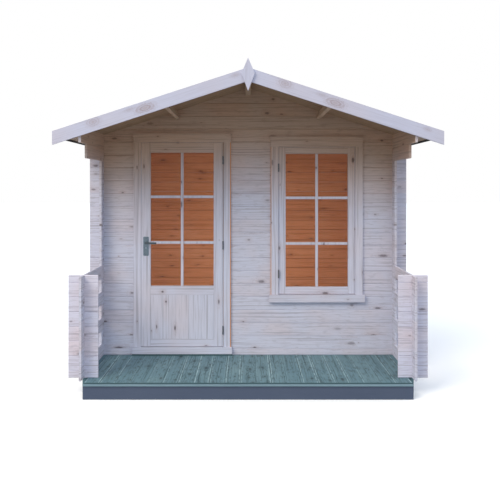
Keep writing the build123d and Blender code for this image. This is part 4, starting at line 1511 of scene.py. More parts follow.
@dataclass
class LogWalls:
    """The log walls, gables, rails and corner stacks, whitewashed outside and bare inside.

    Attributes:
        room: The room's left, right, front and back, inside which the logs are bare.
        deck_top: The level on which the logs start.
        cross_walls: Pieces whose logs run across.
        deep_walls: Pieces on each side whose logs run front to back.
        smudges: How strongly short smudges show in the whitewash.
    """

    room: Plan
    deck_top: float
    cross_walls: Names = (
        "front_wall_left", "front_wall_below_window", "front_wall_middle", "front_wall_right",
        "front_gable", "back_wall", "back_gable",
    )
    deep_walls: Names = ("wall", "rail_logs", "corner_blocks")
    smudges: float = 0.30

    def build(self) -> None:
        """Whitewash the logs that run across and those that run front to back."""
        across = Timber("whitewashed logs across", Grain.WALL_ACROSS, WHITEWASH, LOG_KNOTS, Tone.COURSE,
                        self.deck_top - LOG_PITCH / 2, self.room, roof_shade=FRONT_ROOF_SHADE,
                        speck_share=self.smudges)
        deep = Timber("whitewashed logs deep", Grain.WALL_DEEP, WHITEWASH, LOG_KNOTS, Tone.COURSE,
                      self.deck_top, self.room, roof_shade=SIDE_ROOF_SHADE, speck_share=self.smudges)
        dress(across, *self.cross_walls)
        # Painted light: the cross logs take a lighter copy of the whitewash.
        stubs = Timber("lit cross logs", Grain.WALL_ACROSS, LIT_CROSS_LOG_WASH, LOG_KNOTS, Tone.COURSE,
                       self.deck_top - LOG_PITCH / 2, speck_share=self.smudges)
        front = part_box("left_roof_boards")[0].y + SEAT_GAP
        # The eaves logs take painted shade under the roof, lighter on their front end faces, which daylight
        # reaches.
        eaves = Timber("whitewashed eaves logs", Grain.WALL_DEEP, WHITEWASH, LOG_KNOTS, Tone.COURSE,
                       self.deck_top, self.room, roof_shade=EAVES_ROOF_SHADE,
                       lit_end=(front - END_SKIN, front + END_SKIN))
        for side in ("left", "right"):
            dress(deep, *(f"{side}_{part}" for part in self.deep_walls))
            dress(stubs, f"{side}_cross_logs")
            dress(eaves, f"{side}_eaves_logs")
            self.carry_forward(side, front, eaves)

    def carry_forward(self, side: str, front: float, finish: Finish) -> None:
        """Carry the upper eaves log on under the roof boards, to the back of the bargeboard.

        Args:
            side: The side's name.
            front: Where the log ends.
            finish: The logs' finish.
        """
        low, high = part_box(f"{side}_eaves_logs")
        bottom = low.z + LOG_PITCH
        fall = (high.x - low.x) * math.tan(ROOF_PITCH)
        left_top, right_top = (high.z - fall, high.z) if low.x < 0 else (high.z, high.z - fall)
        shape = bmesh.new()
        ends = []
        for y in (front, low.y - SEAT_GAP):
            corners = ((low.x, y, bottom), (high.x, y, bottom), (high.x, y, right_top), (low.x, y, left_top))
            ends.append([shape.verts.new(corner) for corner in corners])
            shape.faces.new(ends[-1])
        near, far = ends
        for index in range(len(near)):
            shape.faces.new((near[index - 1], near[index], far[index], far[index - 1]))
        settle(closed_piece(f"{side}_eaves_log_nose", shape, finish), "cabin", "whitewashed_logs")


@dataclass
class BaseAndFloors:
    """The painted bearers, the veranda's stained boards and the room's bare ones, in metres.

    Attributes:
        boards: The way to lay boards.
        fasteners: The way to drive screws.
        room: The room's left, right, front and back, inside which the floor is bare.
        deck_boards: The veranda's boards.
        room_boards: The room's boards.
        nosing_depth: How far the board ends stop behind the veranda's front edge.
        nosing_gap: The gap between the board ends and the nosing.
        nosing_drop: How far the nosing lies below the boards.
        nosing_ease: The rounding of the nosing's edges.
        slate: The colour of the bearers' paint.
        thin_slate: Its colour where the cover is thin.
        slate_roughness: How dull it is.
        cap_depth: How far the deck's stain runs down the bearers.
        screw: The veranda's screws.
        screw_inset_share: A screw's distance from a board's edge, as a share of its width.
        front_screw_inset: The front screws' distance from the veranda's front edge.
        back_screw_inset: The back screws' distance from its back edge.
    """

    boards: BoardRow
    fasteners: FastenerField
    room: Plan
    deck_boards: Boarding = Boarding("veranda_boards", 21, 0.0004, 0.0016, 7, 0.0006)
    room_boards: Boarding = Boarding("room_boards", 21, 0.0004, 0.0016, 11, 0.0006)
    nosing_depth: float = 0.044
    nosing_gap: float = 0.002
    nosing_drop: float = 0.008
    nosing_ease: float = 0.004
    slate: Colour = (0.062, 0.084, 0.140)
    thin_slate: Colour = (0.082, 0.108, 0.170)
    slate_roughness: float = 0.55
    cap_depth: float = 0.001
    screw: Head = Head(0.0036, 0.0012, SCREW_STEEL)
    screw_inset_share: float = 0.22
    front_screw_inset: float = 0.070
    back_screw_inset: float = 0.044

    def build(self) -> None:
        """Paint the bearers, and lay both floors."""
        low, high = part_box("veranda_deck")
        coat = Paint("slate paint", self.slate, self.thin_slate, self.slate_roughness, cap=DECK_STAIN.body,
                     cap_level=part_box("foundation_bearers")[1].z - self.cap_depth,
                     cap_side=high.x + SEAT_GAP, cap_front=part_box("left_cross_logs")[1].y + self.cap_depth)
        dress(coat, "foundation_bearers")
        ends = low.y + self.nosing_depth
        # The board ends behind the nosing take painted shade.
        stain = Timber("deck stain", Grain.FLAT_DEEP, DECK_STAIN, DECK_KNOTS, Tone.BOARD,
                       shaded_ends=(ends - END_SKIN, ends + END_SKIN), worn_edges=WORN_STAIN,
                       streak_share=0.9, speck_share=0.65, roughness=0.6)
        # Painted light: the nosing takes a lighter copy of the deck stain.
        edge = Timber("deck stain nosing", Grain.WALL_ACROSS, LIT_NOSING_STAIN, BOARD_KNOTS, roughness=0.6)
        pine = Timber("floor pine", Grain.FLAT_DEEP, DECK_STAIN, BOARD_KNOTS, Tone.BOARD,
                      bare_room=self.room)
        start = Vector((low.x, ends, low.z))
        deck = self.boards.lay(self.deck_boards, high - start, (start + high) / 2, stain)
        settle(deck, "cabin", "deck_paint", "veranda_deck")
        nosing = Blocks("veranda_nosing", self.nosing_ease)
        nosing.add(low, Vector((high.x, ends - self.nosing_gap, high.z - self.nosing_drop)))
        settle(nosing.finish(edge), "cabin", "deck_paint")
        start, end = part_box("room_floor")
        floor = self.boards.lay(self.room_boards, end - start, (start + end) / 2, pine)
        settle(floor, "cabin", "floor_boards", "room_floor")
        self.screw_down(low, high)

    def screw_down(self, low: Vector, high: Vector) -> None:
        """Fix each veranda board with two screws at its front, middle and back.

        Args:
            low: The deck's lowest corner.
            high: The deck's highest corner.
        """
        count = self.deck_boards.count
        width = (high.x - low.x) / count
        rows = (low.y + self.front_screw_inset, (low.y + high.y) / 2, high.y - self.back_screw_inset)
        places = []
        top = high.z - self.deck_boards.uneven
        for index in range(count):
            for share in (self.screw_inset_share, 1 - self.screw_inset_share):
                for row in rows:
                    places.append((Vector((low.x + (index + share) * width, row, top)), UPWARD))
        settle(self.fasteners.drive("veranda_screws", places, self.screw), "cabin", "hinge_steel")


@dataclass
class Roof:
    """The boarding, purlins, felt, bargeboards and finials, in metres.

    Attributes:
        boards: The way to lay boards.
        fasteners: The way to drive nails.
        left_boards: The left slope's boards.
        right_boards: The right slope's boards.
        felt: The felt's thickness.
        felt_lap: How far the upper strip laps the lower.
        felt_drip: How far the felt folds down over the eaves.
        felt_ripple: How far the felt ripples along the roof.
        ripple_rates: How fast its two waves follow each other, in radians a metre.
        ripple_shift: How far the slow wave is shifted, in radians.
        felt_steps: Steps of the felt along the roof.
        bend_share: Where the lower strip has its spare row, as a share of the slope.
        lap_nail_share: Distance of the lap's nails from its edge, as a share of the lap.
        nail_spacing: The distance between two nails.
        nail: The felt's nails.
        rake_knot: The place of the large knot in the left bargeboards, whose Y is left at 0.
        rake_knot_radius: Its radius.
        rake_knot_stretch: How much longer than wide it is.
        front: The front end of the boards and felt.
        back: Their back end.
    """

    boards: BoardRow
    fasteners: FastenerField
    left_boards: Boarding = Boarding("left_roof_boarding", 37, 0.0008, 0.003, 3)
    right_boards: Boarding = Boarding("right_roof_boarding", 37, 0.0008, 0.003, 5)
    felt: float = 0.003
    felt_lap: float = 0.09
    felt_drip: float = 0.034
    felt_ripple: float = 0.0009
    ripple_rates: Span = (23.0, 7.0)
    ripple_shift: float = 1.0
    felt_steps: int = 64
    bend_share: float = 0.8
    lap_nail_share: float = 0.25
    nail_spacing: float = 0.15
    nail: Head = Head(0.0055, 0.0018, NAIL_ZINC)
    rake_knot: Place = (-0.781, 0.0, 2.201)
    rake_knot_radius: float = 0.0155
    rake_knot_stretch: float = 2.3
    front: float = field(init=False)
    back: float = field(init=False)

    def __post_init__(self) -> None:
        """Find the roof's ends."""
        low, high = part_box("ridge_felt")
        self.front, self.back = low.y, high.y

    def build(self) -> None:
        """Board and felt both slopes, and dress the rest."""
        nails = []
        for name, side, rake, slope, row in (
            ("left", -1.0, Grain.LEFT_RAKE, Grain.LEFT_SLOPE, self.left_boards),
            ("right", 1.0, Grain.RIGHT_RAKE, Grain.RIGHT_SLOPE, self.right_boards),
        ):
            self.board(name, side, slope, row)
            nails += self.lay_felt(name, side)
            # The bargeboards take a darker copy of the whitewash as painted shade.
            trim = Timber(f"whitewashed {name} rake", rake, SHADED_RAKE_WASH, RAKE_KNOTS,
                          lone_knots=(self.large_knot(),), streak_share=0.5, halo_share=0.9)
            dress(trim, f"{name}_front_bargeboard", f"{name}_back_bargeboard")
        self.cap_ridge()
        settle(self.fasteners.drive("felt_nails", nails, self.nail), "cabin", "hinge_steel")
        beam = Timber("pine beams", Grain.WALL_DEEP, BEAM_PINE, TRIM_KNOTS)
        dress(beam, "ridge_purlin", "side_purlins")
        # The finials take the same darker copy of the whitewash, as painted shade.
        upright = Timber("whitewashed finial", Grain.UPRIGHT, SHADED_RAKE_WASH, TRIM_KNOTS)
        dress(upright, "front_finial", "back_finial")

    def large_knot(self) -> KnotPlace:
        """The bargeboards' large knot, placed along and across the left rake."""
        along, _, across = Matrix.Rotation(ROOF_PITCH, 3, "Y") @ Vector(self.rake_knot)
        return KnotPlace(along, across, self.rake_knot_radius, self.rake_knot_stretch)

    def down(self, side: float) -> Vector:
        """The way down a slope."""
        return Vector((side * math.cos(ROOF_PITCH), 0.0, -math.sin(ROOF_PITCH)))

    def out(self, side: float) -> Vector:
        """The way out of a slope."""
        return Vector((side * math.sin(ROOF_PITCH), 0.0, math.cos(ROOF_PITCH)))

    def board(self, name: str, side: float, grain: Grain, row: Boarding) -> None:
        """Lay one slope's boards from the ridge to the eaves.

        Args:
            name: The slope's name.
            side: -1 on the left and 1 on the right.
            grain: How the boards lie.
            row: How they are made.
        """
        node = f"{name}_roof_boards"
        low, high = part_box(node)
        down, out = self.down(side), self.out(side)
        thickness = (high.z - low.z - (high.x - low.x) * math.tan(ROOF_PITCH)) * math.cos(ROOF_PITCH)
        eaves = max(abs(low.x), abs(high.x)) - thickness * math.sin(ROOF_PITCH)
        length = eaves / math.cos(ROOF_PITCH) - SEAT_GAP
        under_ridge = Vector((0.0, (low.y + high.y) / 2, high.z - thickness / math.cos(ROOF_PITCH)))
        middle = under_ridge + down * (length / 2 + SEAT_GAP) + out * (thickness / 2)
        turn = Matrix((down.cross(out), down, out)).transposed().to_euler()
        # The roof boards take the darker pine as painted shade on their underside.
        pine = Timber(f"shaded soffit pine {name}", grain, SHADED_SOFFIT_PINE, BOARD_KNOTS, Tone.BOARD)
        laid = self.boards.lay(row, (high.y - low.y, length, thickness), middle, pine, tuple(turn))
        settle(laid, "cabin", "raw_pine", node)

    def sheet(self, name: str, rows: Spots) -> Piece:
        """A strip of felt along the roof, from its places down the slope.

        Args:
            name: The piece's name.
            rows: Each row's underside at the front end, and the way out of the felt there.

        Returns:
            The strip as a closed piece.
        """
        shape = bmesh.new()
        grid = []
        quick, slow = self.ripple_rates
        for step in range(self.felt_steps + 1):
            y = self.front + (self.back - self.front) * step / self.felt_steps
            wave = math.sin(y * quick) * math.sin(y * slow + self.ripple_shift)
            ripple = self.felt_ripple * (1 + wave) / 2
            lower = [shape.verts.new((place.x, y, place.z)) for place, _ in rows]
            upper = [shape.verts.new(Vector((place.x, y, place.z)) + way * (self.felt + ripple))
                     for place, way in rows]
            grid.append((lower, upper))
        last = len(rows) - 1
        for (lower, upper), (next_lower, next_upper) in zip(grid, grid[1:]):
            for index in range(last):
                shape.faces.new((upper[index], upper[index + 1], next_upper[index + 1], next_upper[index]))
                shape.faces.new((lower[index], next_lower[index], next_lower[index + 1], lower[index + 1]))
            for index in (0, last):
                shape.faces.new((lower[index], upper[index], next_upper[index], next_lower[index]))
        for lower, upper in (grid[0], grid[-1]):
            for index in range(last):
                shape.faces.new((lower[index], lower[index + 1], upper[index + 1], upper[index]))
        return closed_piece(name, shape, MINERAL_FELT)

    def lay_felt(self, name: str, side: float) -> Spots:
        """Lay two strips of felt on a slope, the upper lapping the lower, which folds over the eaves.

        Args:
            name: The slope's name.
            side: -1 on the left and 1 on the right.

        Returns:
            Places and directions of the felt's nails.
        """
        node = f"{name}_roof_felt"
        low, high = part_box(node)
        edge = max(abs(low.x), abs(high.x)) - self.felt
        down, out = self.down(side), self.out(side)
        apex = Vector((0.0, self.front, high.z - self.felt / math.cos(ROOF_PITCH)))
        length = edge / math.cos(ROOF_PITCH)
        middle = length / 2
        eaves = apex + down * (length - SEAT_GAP)
        outward = Vector((side, 0.0, 0.0))
        corner = (outward + out).normalized()
        lap = apex + down * (middle - self.felt_lap)
        lower_rows = [(lap, out), (apex + down * middle, out),
                      (apex + down * (length * self.bend_share), out),
                      (eaves, corner), (eaves - UPWARD * self.felt_drip, outward)]
        top = self.felt + self.felt_ripple
        lifted = out * (top + SEAT_GAP)
        upper_rows = [(apex + down * SEAT_GAP, out), (lap - down * self.felt_lap, out), (lap + lifted, out),
                      (apex + down * middle + lifted, out)]
        settle(self.sheet(f"{name}_felt_lower", lower_rows), "cabin", "roof_felt", node)
        settle(self.sheet(f"{name}_felt_upper", upper_rows), "cabin", "roof_felt")
        drip_nail = eaves - UPWARD * (self.felt_drip / 2) + outward * top
        lap_nail = apex + down * (middle - self.felt_lap * self.lap_nail_share) + lifted + out * top
        count = round((self.back - self.front) / self.nail_spacing)
        places = []
        for index in range(count):
            along = Vector((0.0, (self.back - self.front) * (index + 0.5) / count, 0.0))
            places += [(drip_nail + along, outward), (lap_nail + along, out)]
        return places

    def cap_ridge(self) -> None:
        """Fold the ridge strip over both slopes."""
        low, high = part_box("ridge_felt")
        apex = Vector((0.0, self.front, high.z - self.felt / math.cos(ROOF_PITCH)))
        reach = (high.x - low.x) / 2 / math.cos(ROOF_PITCH)
        rows = [(apex + self.down(-1.0) * reach, self.out(-1.0)), (apex, UPWARD),
                (apex + self.down(1.0) * reach, self.out(1.0))]
        settle(self.sheet("ridge_cap", rows), "cabin", "roof_felt", "ridge_felt")


@dataclass
class Glazing:
    """The bars and beads that divide one sheet of glass into panes, in metres.

    Attributes:
        glass: The glass's name in the frame.
        holder: The leaf or sash that holds it.
        body: The body that it rides on.
        bar_width: An outer bar's width.
        inner_bar_width: An inner bar's width.
        bead_width: The width of the beads round the glass.
        ease: The rounding of their edges.
        recess: How far they lie behind the leaf's faces.
        row_shares: Heights of the cross bars, as shares of the glass.
    """

    glass: str
    holder: str
    body: str
    bar_width: float = 0.0245
    inner_bar_width: float = 0.018
    bead_width: float = 0.0015
    ease: float = 0.0035
    recess: float = 0.004
    row_shares: Span = (0.325, 0.668)

    def build(self, outer: Finish, inner: Finish) -> None:
        """Bars and beads on both faces of the glass.

        Args:
            outer: The finish outside.
            inner: The finish inside.
        """
        low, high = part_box(self.glass)
        inset = Vector((GROOVE_REACH, 0.0, GROOVE_REACH))
        low, high = low + inset, high - inset
        holder_low, holder_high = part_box(self.holder)
        front, back = holder_low.y + self.recess, holder_high.y - self.recess
        for name, width, near, far, finish, slot in (
            ("outer", self.bar_width, front, low.y - SEAT_GAP, outer, "whitewashed_joinery"),
            ("inner", self.inner_bar_width, high.y + SEAT_GAP, back, inner, "raw_pine"),
        ):
            bars = Blocks(f"{self.glass}_{name}_bars", self.ease)
            for left, right, bottom, top in self.sections(low, high, width):
                bars.add(Vector((left, near, bottom)), Vector((right, far, top)))
            settle(bars.finish(finish), self.body, slot)

    def sections(self, low: Vector, high: Vector, bar_width: float) -> list[Section]:
        """Places of the bars and beads of one face.

        Args:
            low: The pane opening's lowest corner.
            high: Its highest corner.
            bar_width: A bar's width.

        Returns:
            Each section's left, right, bottom and top.
        """
        bead = self.bead_width
        left, right = low.x + bead, high.x - bead
        middle = (low.x + high.x) / 2
        half = bar_width / 2
        sections = [(low.x, left, low.z, high.z), (right, high.x, low.z, high.z),
                    (left, right, low.z, low.z + bead), (left, right, high.z - bead, high.z),
                    (middle - half, middle + half, low.z + bead, high.z - bead)]
        for share in self.row_shares:
            level = low.z + (high.z - low.z) * share
            sections.append((left, middle - half, level - half, level + half))
            sections.append((middle + half, right, level - half, level + half))
        return sections


@dataclass
class Joinery:
    """The door and the window, with their frames, glass and ironmongery, in metres.

    Attributes:
        boards: The way to lay boards.
        fasteners: The way to drive screws.
        room: The room's left, right, front and back, inside which the frames are bare.
        panel_boards: The boards of the door's lower panel.
        facing_boards: The boards that face it outside.
        facing_recess: How far those lie behind the leaf's face.
        door_strip: Width of the bare edge of the door's frame.
        window_strip: Width of the bare edge of the window's frame.
        seal_inset: How far a draught strip lies behind the face of its leaf or sash.
        seal_depth: A strip's depth from front to back.
        sash_seal: The sash's strip, from its near to its far side, as distances from the sash.
        leaf_seal: The same of the door leaf's strip, which moves with it.
        seal_ease: The rounding of a strip's edges.
        foot_shade: How far the painted shadow at the threshold's foot reaches up it.
        stile_share: A door stile's width as a share of the leaf's.
        sash_stile_share: A sash stile's width as a share of the sash's.
        plate_screw: The handle plates' screws.
        plate_screw_inset: Their distance from a plate's ends.
        leaf_knots: Large knots in a rail of the door and in a stile of the sash.
        panel_knots: Large knots in the door's lower panel.
    """

    boards: BoardRow
    fasteners: FastenerField
    room: Plan
    panel_boards: Boarding = Boarding("door_panel_boards", 5, 0.0002, 0.0020, 17)
    facing_boards: Boarding = Boarding("door_panel_facing", 5, 0.0002, 0.0020, 17)
    facing_recess: float = 0.0015
    door_strip: float = 0.007
    window_strip: float = 0.004
    seal_inset: float = 0.003
    seal_depth: float = 0.006
    sash_seal: Span = (0.0004, 0.0046)
    leaf_seal: Span = (0.0003, 0.0042)
    seal_ease: float = 0.0006
    foot_shade: float = 0.014
    stile_share: float = 0.1105
    sash_stile_share: float = 0.0876
    plate_screw: Head = Head(0.0034, 0.0012, HINGE_STEEL)
    plate_screw_inset: float = 0.013
    leaf_knots: tuple[KnotPlace, ...] = (
        KnotPlace(-0.7535, 0.6795, 0.0115, 1.3), KnotPlace(1.839, 0.925, 0.0175, 1.9),
    )
    panel_knots: tuple[KnotPlace, ...] = (
        KnotPlace(0.5915, -0.7227, 0.0100, 1.5), KnotPlace(0.360, -0.6435, 0.0095, 3.2),
        KnotPlace(0.371, -0.8046, 0.0065, 4.0),
    )

    def build(self) -> None:
        """Dress frames, leaves, glass and metal, and add what the frame leaves out."""
        self.dress_jambs("door_jambs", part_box("door_jambs")[1].x, self.door_strip)
        self.dress_jambs("window_jambs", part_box("window_jambs")[0].x, self.window_strip)
        level = Timber("whitewashed heads and sills", Grain.WALL_ACROSS, WHITEWASH, TRIM_KNOTS,
                       bare_room=self.room, roof_shade=FRONT_ROOF_SHADE)
        dress(level, "door_head", "window_head", "window_sill")
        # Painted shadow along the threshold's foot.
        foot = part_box("door_threshold")[0].z + self.foot_shade
        step = Timber("whitewashed threshold", Grain.WALL_ACROSS, WHITEWASH, TRIM_KNOTS,
                      bare_room=self.room, shaded_foot=foot)
        dress(step, "door_threshold")
        dress(Timber("bare pine stops", Grain.UPRIGHT, BARE_PINE, TRIM_KNOTS), "door_stops")
        self.dress_leaf("door_leaf", self.stile_share)
        self.dress_leaf("window_sash", self.sash_stile_share)
        bars = Timber("whitewashed bars", Grain.UPRIGHT, WHITEWASH, TRIM_KNOTS, roof_shade=BAR_ROOF_SHADE)
        inner_bars = Timber("bare pine bars", Grain.UPRIGHT, BARE_PINE, TRIM_KNOTS)
        Glazing("door_glass", "door_leaf", "door").build(bars, inner_bars)
        Glazing("window_glass", "window_sash", "cabin").build(bars, inner_bars)
        self.board_panel()
        self.seal("window_draught_strip", "window_sash", "cabin", self.sash_seal, True, bars)
        self.seal("door_draught_strip", "door_leaf", "door", self.leaf_seal, False, bars)
        dress(CLEAR_GLASS, "door_glass", "window_glass")
        dress(HINGE_STEEL, "door_hinge_pins", "door_hinge_leaves", "window_hinges")
        dress(PLATE_STEEL, "door_handle_plates")
        dress(LEVER_STEEL, "outer_lever", "inner_lever")
        self.screw_plates()

    def dress_jambs(self, node: str, edge: float, strip: float) -> None:
        """Whitewash a pair of jambs, and leave one cut edge bare.

        Args:
            node: The jambs' name in the frame.
            edge: The X of the cut edge.
            strip: The bare strip's width.
        """
        jambs = Timber(f"whitewashed {node.replace('_', ' ')}", Grain.UPRIGHT, WHITEWASH, TRIM_KNOTS,
                       bare_room=self.room, bare_strips=((edge - strip, edge + strip),),
                       roof_shade=FRONT_ROOF_SHADE)
        dress(jambs, node)

    def dress_leaf(self, node: str, share: float) -> None:
        """Whitewash a leaf with upright stiles and level rails, and leave its room side bare.

        Args:
            node: The leaf's name in the frame.
            share: A stile's width as a share of the leaf's.
        """
        low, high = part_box(node)
        stile = (high.x - low.x) * share
        leaf = Timber(f"whitewashed {node.replace('_', ' ')}", Grain.UPRIGHT, WHITEWASH, TRIM_KNOTS,
                      bare_room=(low.x + END_SKIN, high.x - END_SKIN,
                                 (low.y + high.y) / 2, high.y + END_SKIN),
                      roof_shade=FRONT_ROOF_SHADE, lone_knots=self.leaf_knots,
                      rails=(low.x + stile, high.x - stile))
        dress(leaf, node)

    def board_panel(self) -> None:
        """Make the door's lower panel from upright boards, bare inside and faced with whitewashed ones."""
        low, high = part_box("door_panel")
        inset = GROOVE_REACH + SEAT_GAP
        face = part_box("door_leaf")[0].y + self.facing_recess
        pine = Timber("bare panel boards", Grain.UPRIGHT, BARE_PINE, PANEL_KNOTS, Tone.BOARD)
        wash = Timber("whitewashed panel boards", Grain.UPRIGHT, WHITEWASH, PANEL_KNOTS, Tone.BOARD,
                      lone_knots=self.panel_knots)
        corners = (Vector((low.x + inset, face, low.z + inset)),
                   Vector((high.x - inset, low.y - SEAT_GAP, high.z - inset)))
        for row, (start, end), finish, slot, nodes in (
            (self.panel_boards, (low, high), pine, "raw_pine", ("door_panel",)),
            (self.facing_boards, corners, wash, "whitewashed_joinery", ()),
        ):
            across, through, along = end - start
            stood = self.boards.lay(row, (across, along, through), (start + end) / 2, finish,
                                    (math.radians(90.0), 0.0, 0.0))
            settle(stood, "door", slot, *nodes)

    def seal(self, name: str, node: str, body: str, span: Span, both_sides: bool, finish: Finish) -> None:
        """Close the gap beside and over a leaf or sash with a strip. Its foot stays open, to drain.

        Args:
            name: The strip's name.
            node: The leaf or sash.
            body: The body that carries the strip.
            span: The strip's near and far side, as distances from the leaf or sash.
            both_sides: Whether it runs down the right side too, where a door has its hinges.
            finish: The finish.
        """
        low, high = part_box(node)
        front = low.y + self.seal_inset
        back = front + self.seal_depth
        near, far = span
        strip = Blocks(name, self.seal_ease)
        strip.add(Vector((low.x - far, front, low.z)), Vector((low.x - near, back, high.z + far)))
        if both_sides:
            strip.add(Vector((high.x + near, front, low.z)), Vector((high.x + far, back, high.z + far)))
        strip.add(Vector((low.x - near, front, high.z + near)), Vector((high.x, back, high.z + far)))
        settle(strip.finish(finish), body, "whitewashed_joinery")

    def screw_plates(self) -> None:
        """Fix both handle plates with a screw at the top and the bottom."""
        low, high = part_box("door_handle_plates")
        middle = (low.x + high.x) / 2
        places = []
        for face, way in ((low.y, OUTSIDE), (high.y, -OUTSIDE)):
            for level in (low.z + self.plate_screw_inset, high.z - self.plate_screw_inset):
                places.append((Vector((middle, face, level)), way))
        settle(self.fasteners.drive("handle_screws", places, self.plate_screw), "door", "hinge_steel")


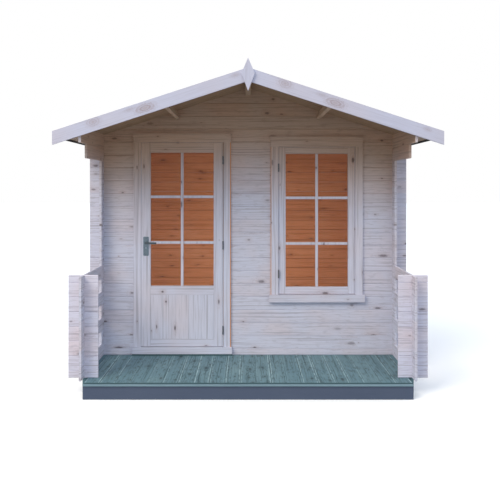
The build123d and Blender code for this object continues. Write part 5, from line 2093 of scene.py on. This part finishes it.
@dataclass
class Studio:
    """The floor, the light and the camera, in metres and watts.

    Attributes:
        eye: The camera's place.
        lens: Its focal length in millimetres.
        sensor: Its sensor's width in millimetres.
        shift: How far its picture is shifted, as shares of its width.
        floor_half: Half the floor's side.
        floor_tone: The floor's colour where it lights what stands on it.
        floor_roughness: How dull it is.
        sky_low: The sky's strength at the horizon.
        sky_high: Its strength overhead.
        sky_rise: Heights of the way to look, from 0 to 1, between which it changes.
        sky_colour: Its colour.
        key_power: The key lamp's power.
        key_colour: Its colour.
        key_size: Its side.
        key_place: Where it hangs.
        key_aim: The point that it faces.
        room_power: The room lamp's power.
        room_size: Its side.
        room_place_shares: Its place, as shares of the room's depth and height.
        room_aim_share: The height that it faces on the back wall, as a share of the room's.
    """

    eye: Place = (0.0, -7.185, 1.610)
    lens: float = 52.2
    sensor: float = 36.0
    shift: Span = (0.0038, -0.128)
    floor_half: float = 60.0
    floor_tone: Colour = (0.2, 0.2, 0.2)
    floor_roughness: float = 0.9
    sky_low: float = 1.02
    sky_high: float = 1.22
    sky_rise: Span = (0.0, 0.8)
    sky_colour: Colour = (0.93, 1.0, 1.09)
    key_power: float = 1750.0
    key_colour: Colour = (1.0, 0.86, 0.66)
    key_size: float = 9.0
    key_place: Place = (-9.4, -11.2, 12.2)
    key_aim: Place = (0.0, -0.8, 1.0)
    room_power: float = 15.0
    room_size: float = 1.2
    room_place_shares: Span = (0.2, 0.30)
    room_aim_share: float = 0.08

    def build(self) -> None:
        """Set the floor, sky, lamps and camera."""
        bpy.context.scene.view_settings.view_transform = "Standard"
        self.lay_floor()
        self.hang_sky()
        self.place_key()
        self.place_room_lamp()
        self.place_camera()

    def seen(self, sketch: Sketch) -> Socket:
        """Tell rays that show a surface from those that only light others.

        Args:
            sketch: The material's or the sky's tree.

        Returns:
            1 for rays that show a surface in the picture, in metal or through glass.
        """
        path = sketch.node("ShaderNodeLightPath")
        mirror = sketch.math("MAXIMUM", path.outputs["Is Glossy Ray"], path.outputs["Is Transmission Ray"])
        return sketch.math("MAXIMUM", path.outputs["Is Camera Ray"], mirror)

    def lay_floor(self) -> None:
        """A pale floor that keeps the cabin's shadow."""
        half = self.floor_half
        corners = [(-half, -half, 0), (half, -half, 0), (half, half, 0), (-half, half, 0)]
        mesh = bpy.data.meshes.new("floor")
        mesh.from_pydata(corners, [], [(0, 1, 2, 3)])
        new_piece("floor", mesh)
        material = bpy.data.materials.new("pale floor")
        material.use_nodes = True
        sketch = Sketch(material.node_tree)
        colour = sketch.mix(self.seen(sketch), self.floor_tone, WHITE)
        shader = material.node_tree.nodes["Principled BSDF"]
        sketch.fill(shader, Base_Color=colour, Roughness=self.floor_roughness, Specular_IOR_Level=0.0)
        mesh.materials.append(material)

    def hang_sky(self) -> None:
        """A soft sky, brighter overhead, that shows white behind the cabin."""
        world = bpy.data.worlds.new("studio sky")
        bpy.context.scene.world = world
        world.use_nodes = True
        world.node_tree.nodes.clear()
        sketch = Sketch(world.node_tree)
        way = sketch.node("ShaderNodeTexCoord").outputs["Generated"]
        height = sketch.rise(sketch.separate(way)["Z"], *self.sky_rise)
        glow = sketch.math("MULTIPLY_ADD", height, self.sky_high - self.sky_low, self.sky_low)
        light = sketch.fill(sketch.node("ShaderNodeBackground"), Color=rgba(self.sky_colour), Strength=glow)
        white = sketch.fill(sketch.node("ShaderNodeBackground"), Color=rgba(WHITE), Strength=1.0)
        blend = sketch.node("ShaderNodeMixShader")
        shown = (self.seen(sketch), light.outputs["Background"], white.outputs["Background"])
        for socket, value in zip(blend.inputs, shown):
            sketch.feed(socket, value)
        sketch.fill(sketch.node("ShaderNodeOutputWorld"), Surface=blend.outputs["Shader"])

    def lamp(self, name: str, power: float, size: float, place: Vector, aim: Vector) -> Piece:
        """A soft square lamp that the camera doesn't see.

        Args:
            name: The lamp's name.
            power: Its power.
            size: Its side.
            place: Where it hangs.
            aim: The point that it faces.

        Returns:
            The lamp.
        """
        light = bpy.data.lights.new(name, "AREA")
        light.energy = power
        light.size = size
        lamp = bpy.data.objects.new(name, light)
        bpy.context.scene.collection.objects.link(lamp)
        lamp.location = place
        lamp.rotation_euler = (aim - place).to_track_quat("-Z", "Y").to_euler()
        lamp.visible_camera = False
        lamp.visible_glossy = False
        lamp.visible_transmission = False
        return lamp

    def place_key(self) -> None:
        """The key lamp, high at the front left."""
        key = self.lamp("key lamp", self.key_power, self.key_size, Vector(self.key_place),
                        Vector(self.key_aim))
        key.data.color = self.key_colour

    def place_room_lamp(self) -> None:
        """A weak lamp in the room, so that its back wall shows through the panes."""
        low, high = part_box("room_floor")
        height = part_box("ridge_purlin")[0].z - high.z
        middle = (low.x + high.x) / 2
        into, up = self.room_place_shares
        place = Vector((middle, low.y + (high.y - low.y) * into, high.z + height * up))
        aim = Vector((middle, high.y, high.z + height * self.room_aim_share))
        self.lamp("room lamp", self.room_power, self.room_size, place, aim)

    def place_camera(self) -> None:
        """The camera, level, straight in front of the cabin."""
        data = bpy.data.cameras.new("camera")
        data.lens = self.lens
        data.sensor_width = self.sensor
        data.shift_x, data.shift_y = self.shift
        camera = bpy.data.objects.new("camera", data)
        bpy.context.scene.collection.objects.link(camera)
        camera.location = self.eye
        camera.rotation_euler = (math.radians(90.0), 0.0, 0.0)
        bpy.context.scene.camera = camera


def room_in_plan(share: float) -> Plan:
    """The room's plan, out to a share of its walls' thickness.

    Args:
        share: 0 at the walls' inner faces and 1 at their outer faces.

    Returns:
        Left, right, front and back.
    """
    left_low, left_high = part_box("left_wall")
    front_low, front_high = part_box("front_wall_middle")
    back_low, back_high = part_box("back_wall")
    half = -left_high.x + (left_high.x - left_low.x) * share
    front = front_high.y - (front_high.y - front_low.y) * share
    return -half, half, front, back_low.y + (back_high.y - back_low.y) * share


def main() -> None:
    """Dress the cabin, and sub-assembly by sub-assembly."""
    logging.basicConfig(level=logging.INFO, format="%(message)s")
    boards = BoardRow()
    fasteners = FastenerField()
    mid_wall = room_in_plan(share=0.5)
    LogWalls(mid_wall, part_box("veranda_deck")[1].z).build()
    BaseAndFloors(boards, fasteners, mid_wall).build()
    Roof(boards, fasteners).build()
    Joinery(boards, fasteners, room_in_plan(share=0.0)).build()
    Studio().build()


if __name__ == "__main__":
    main()
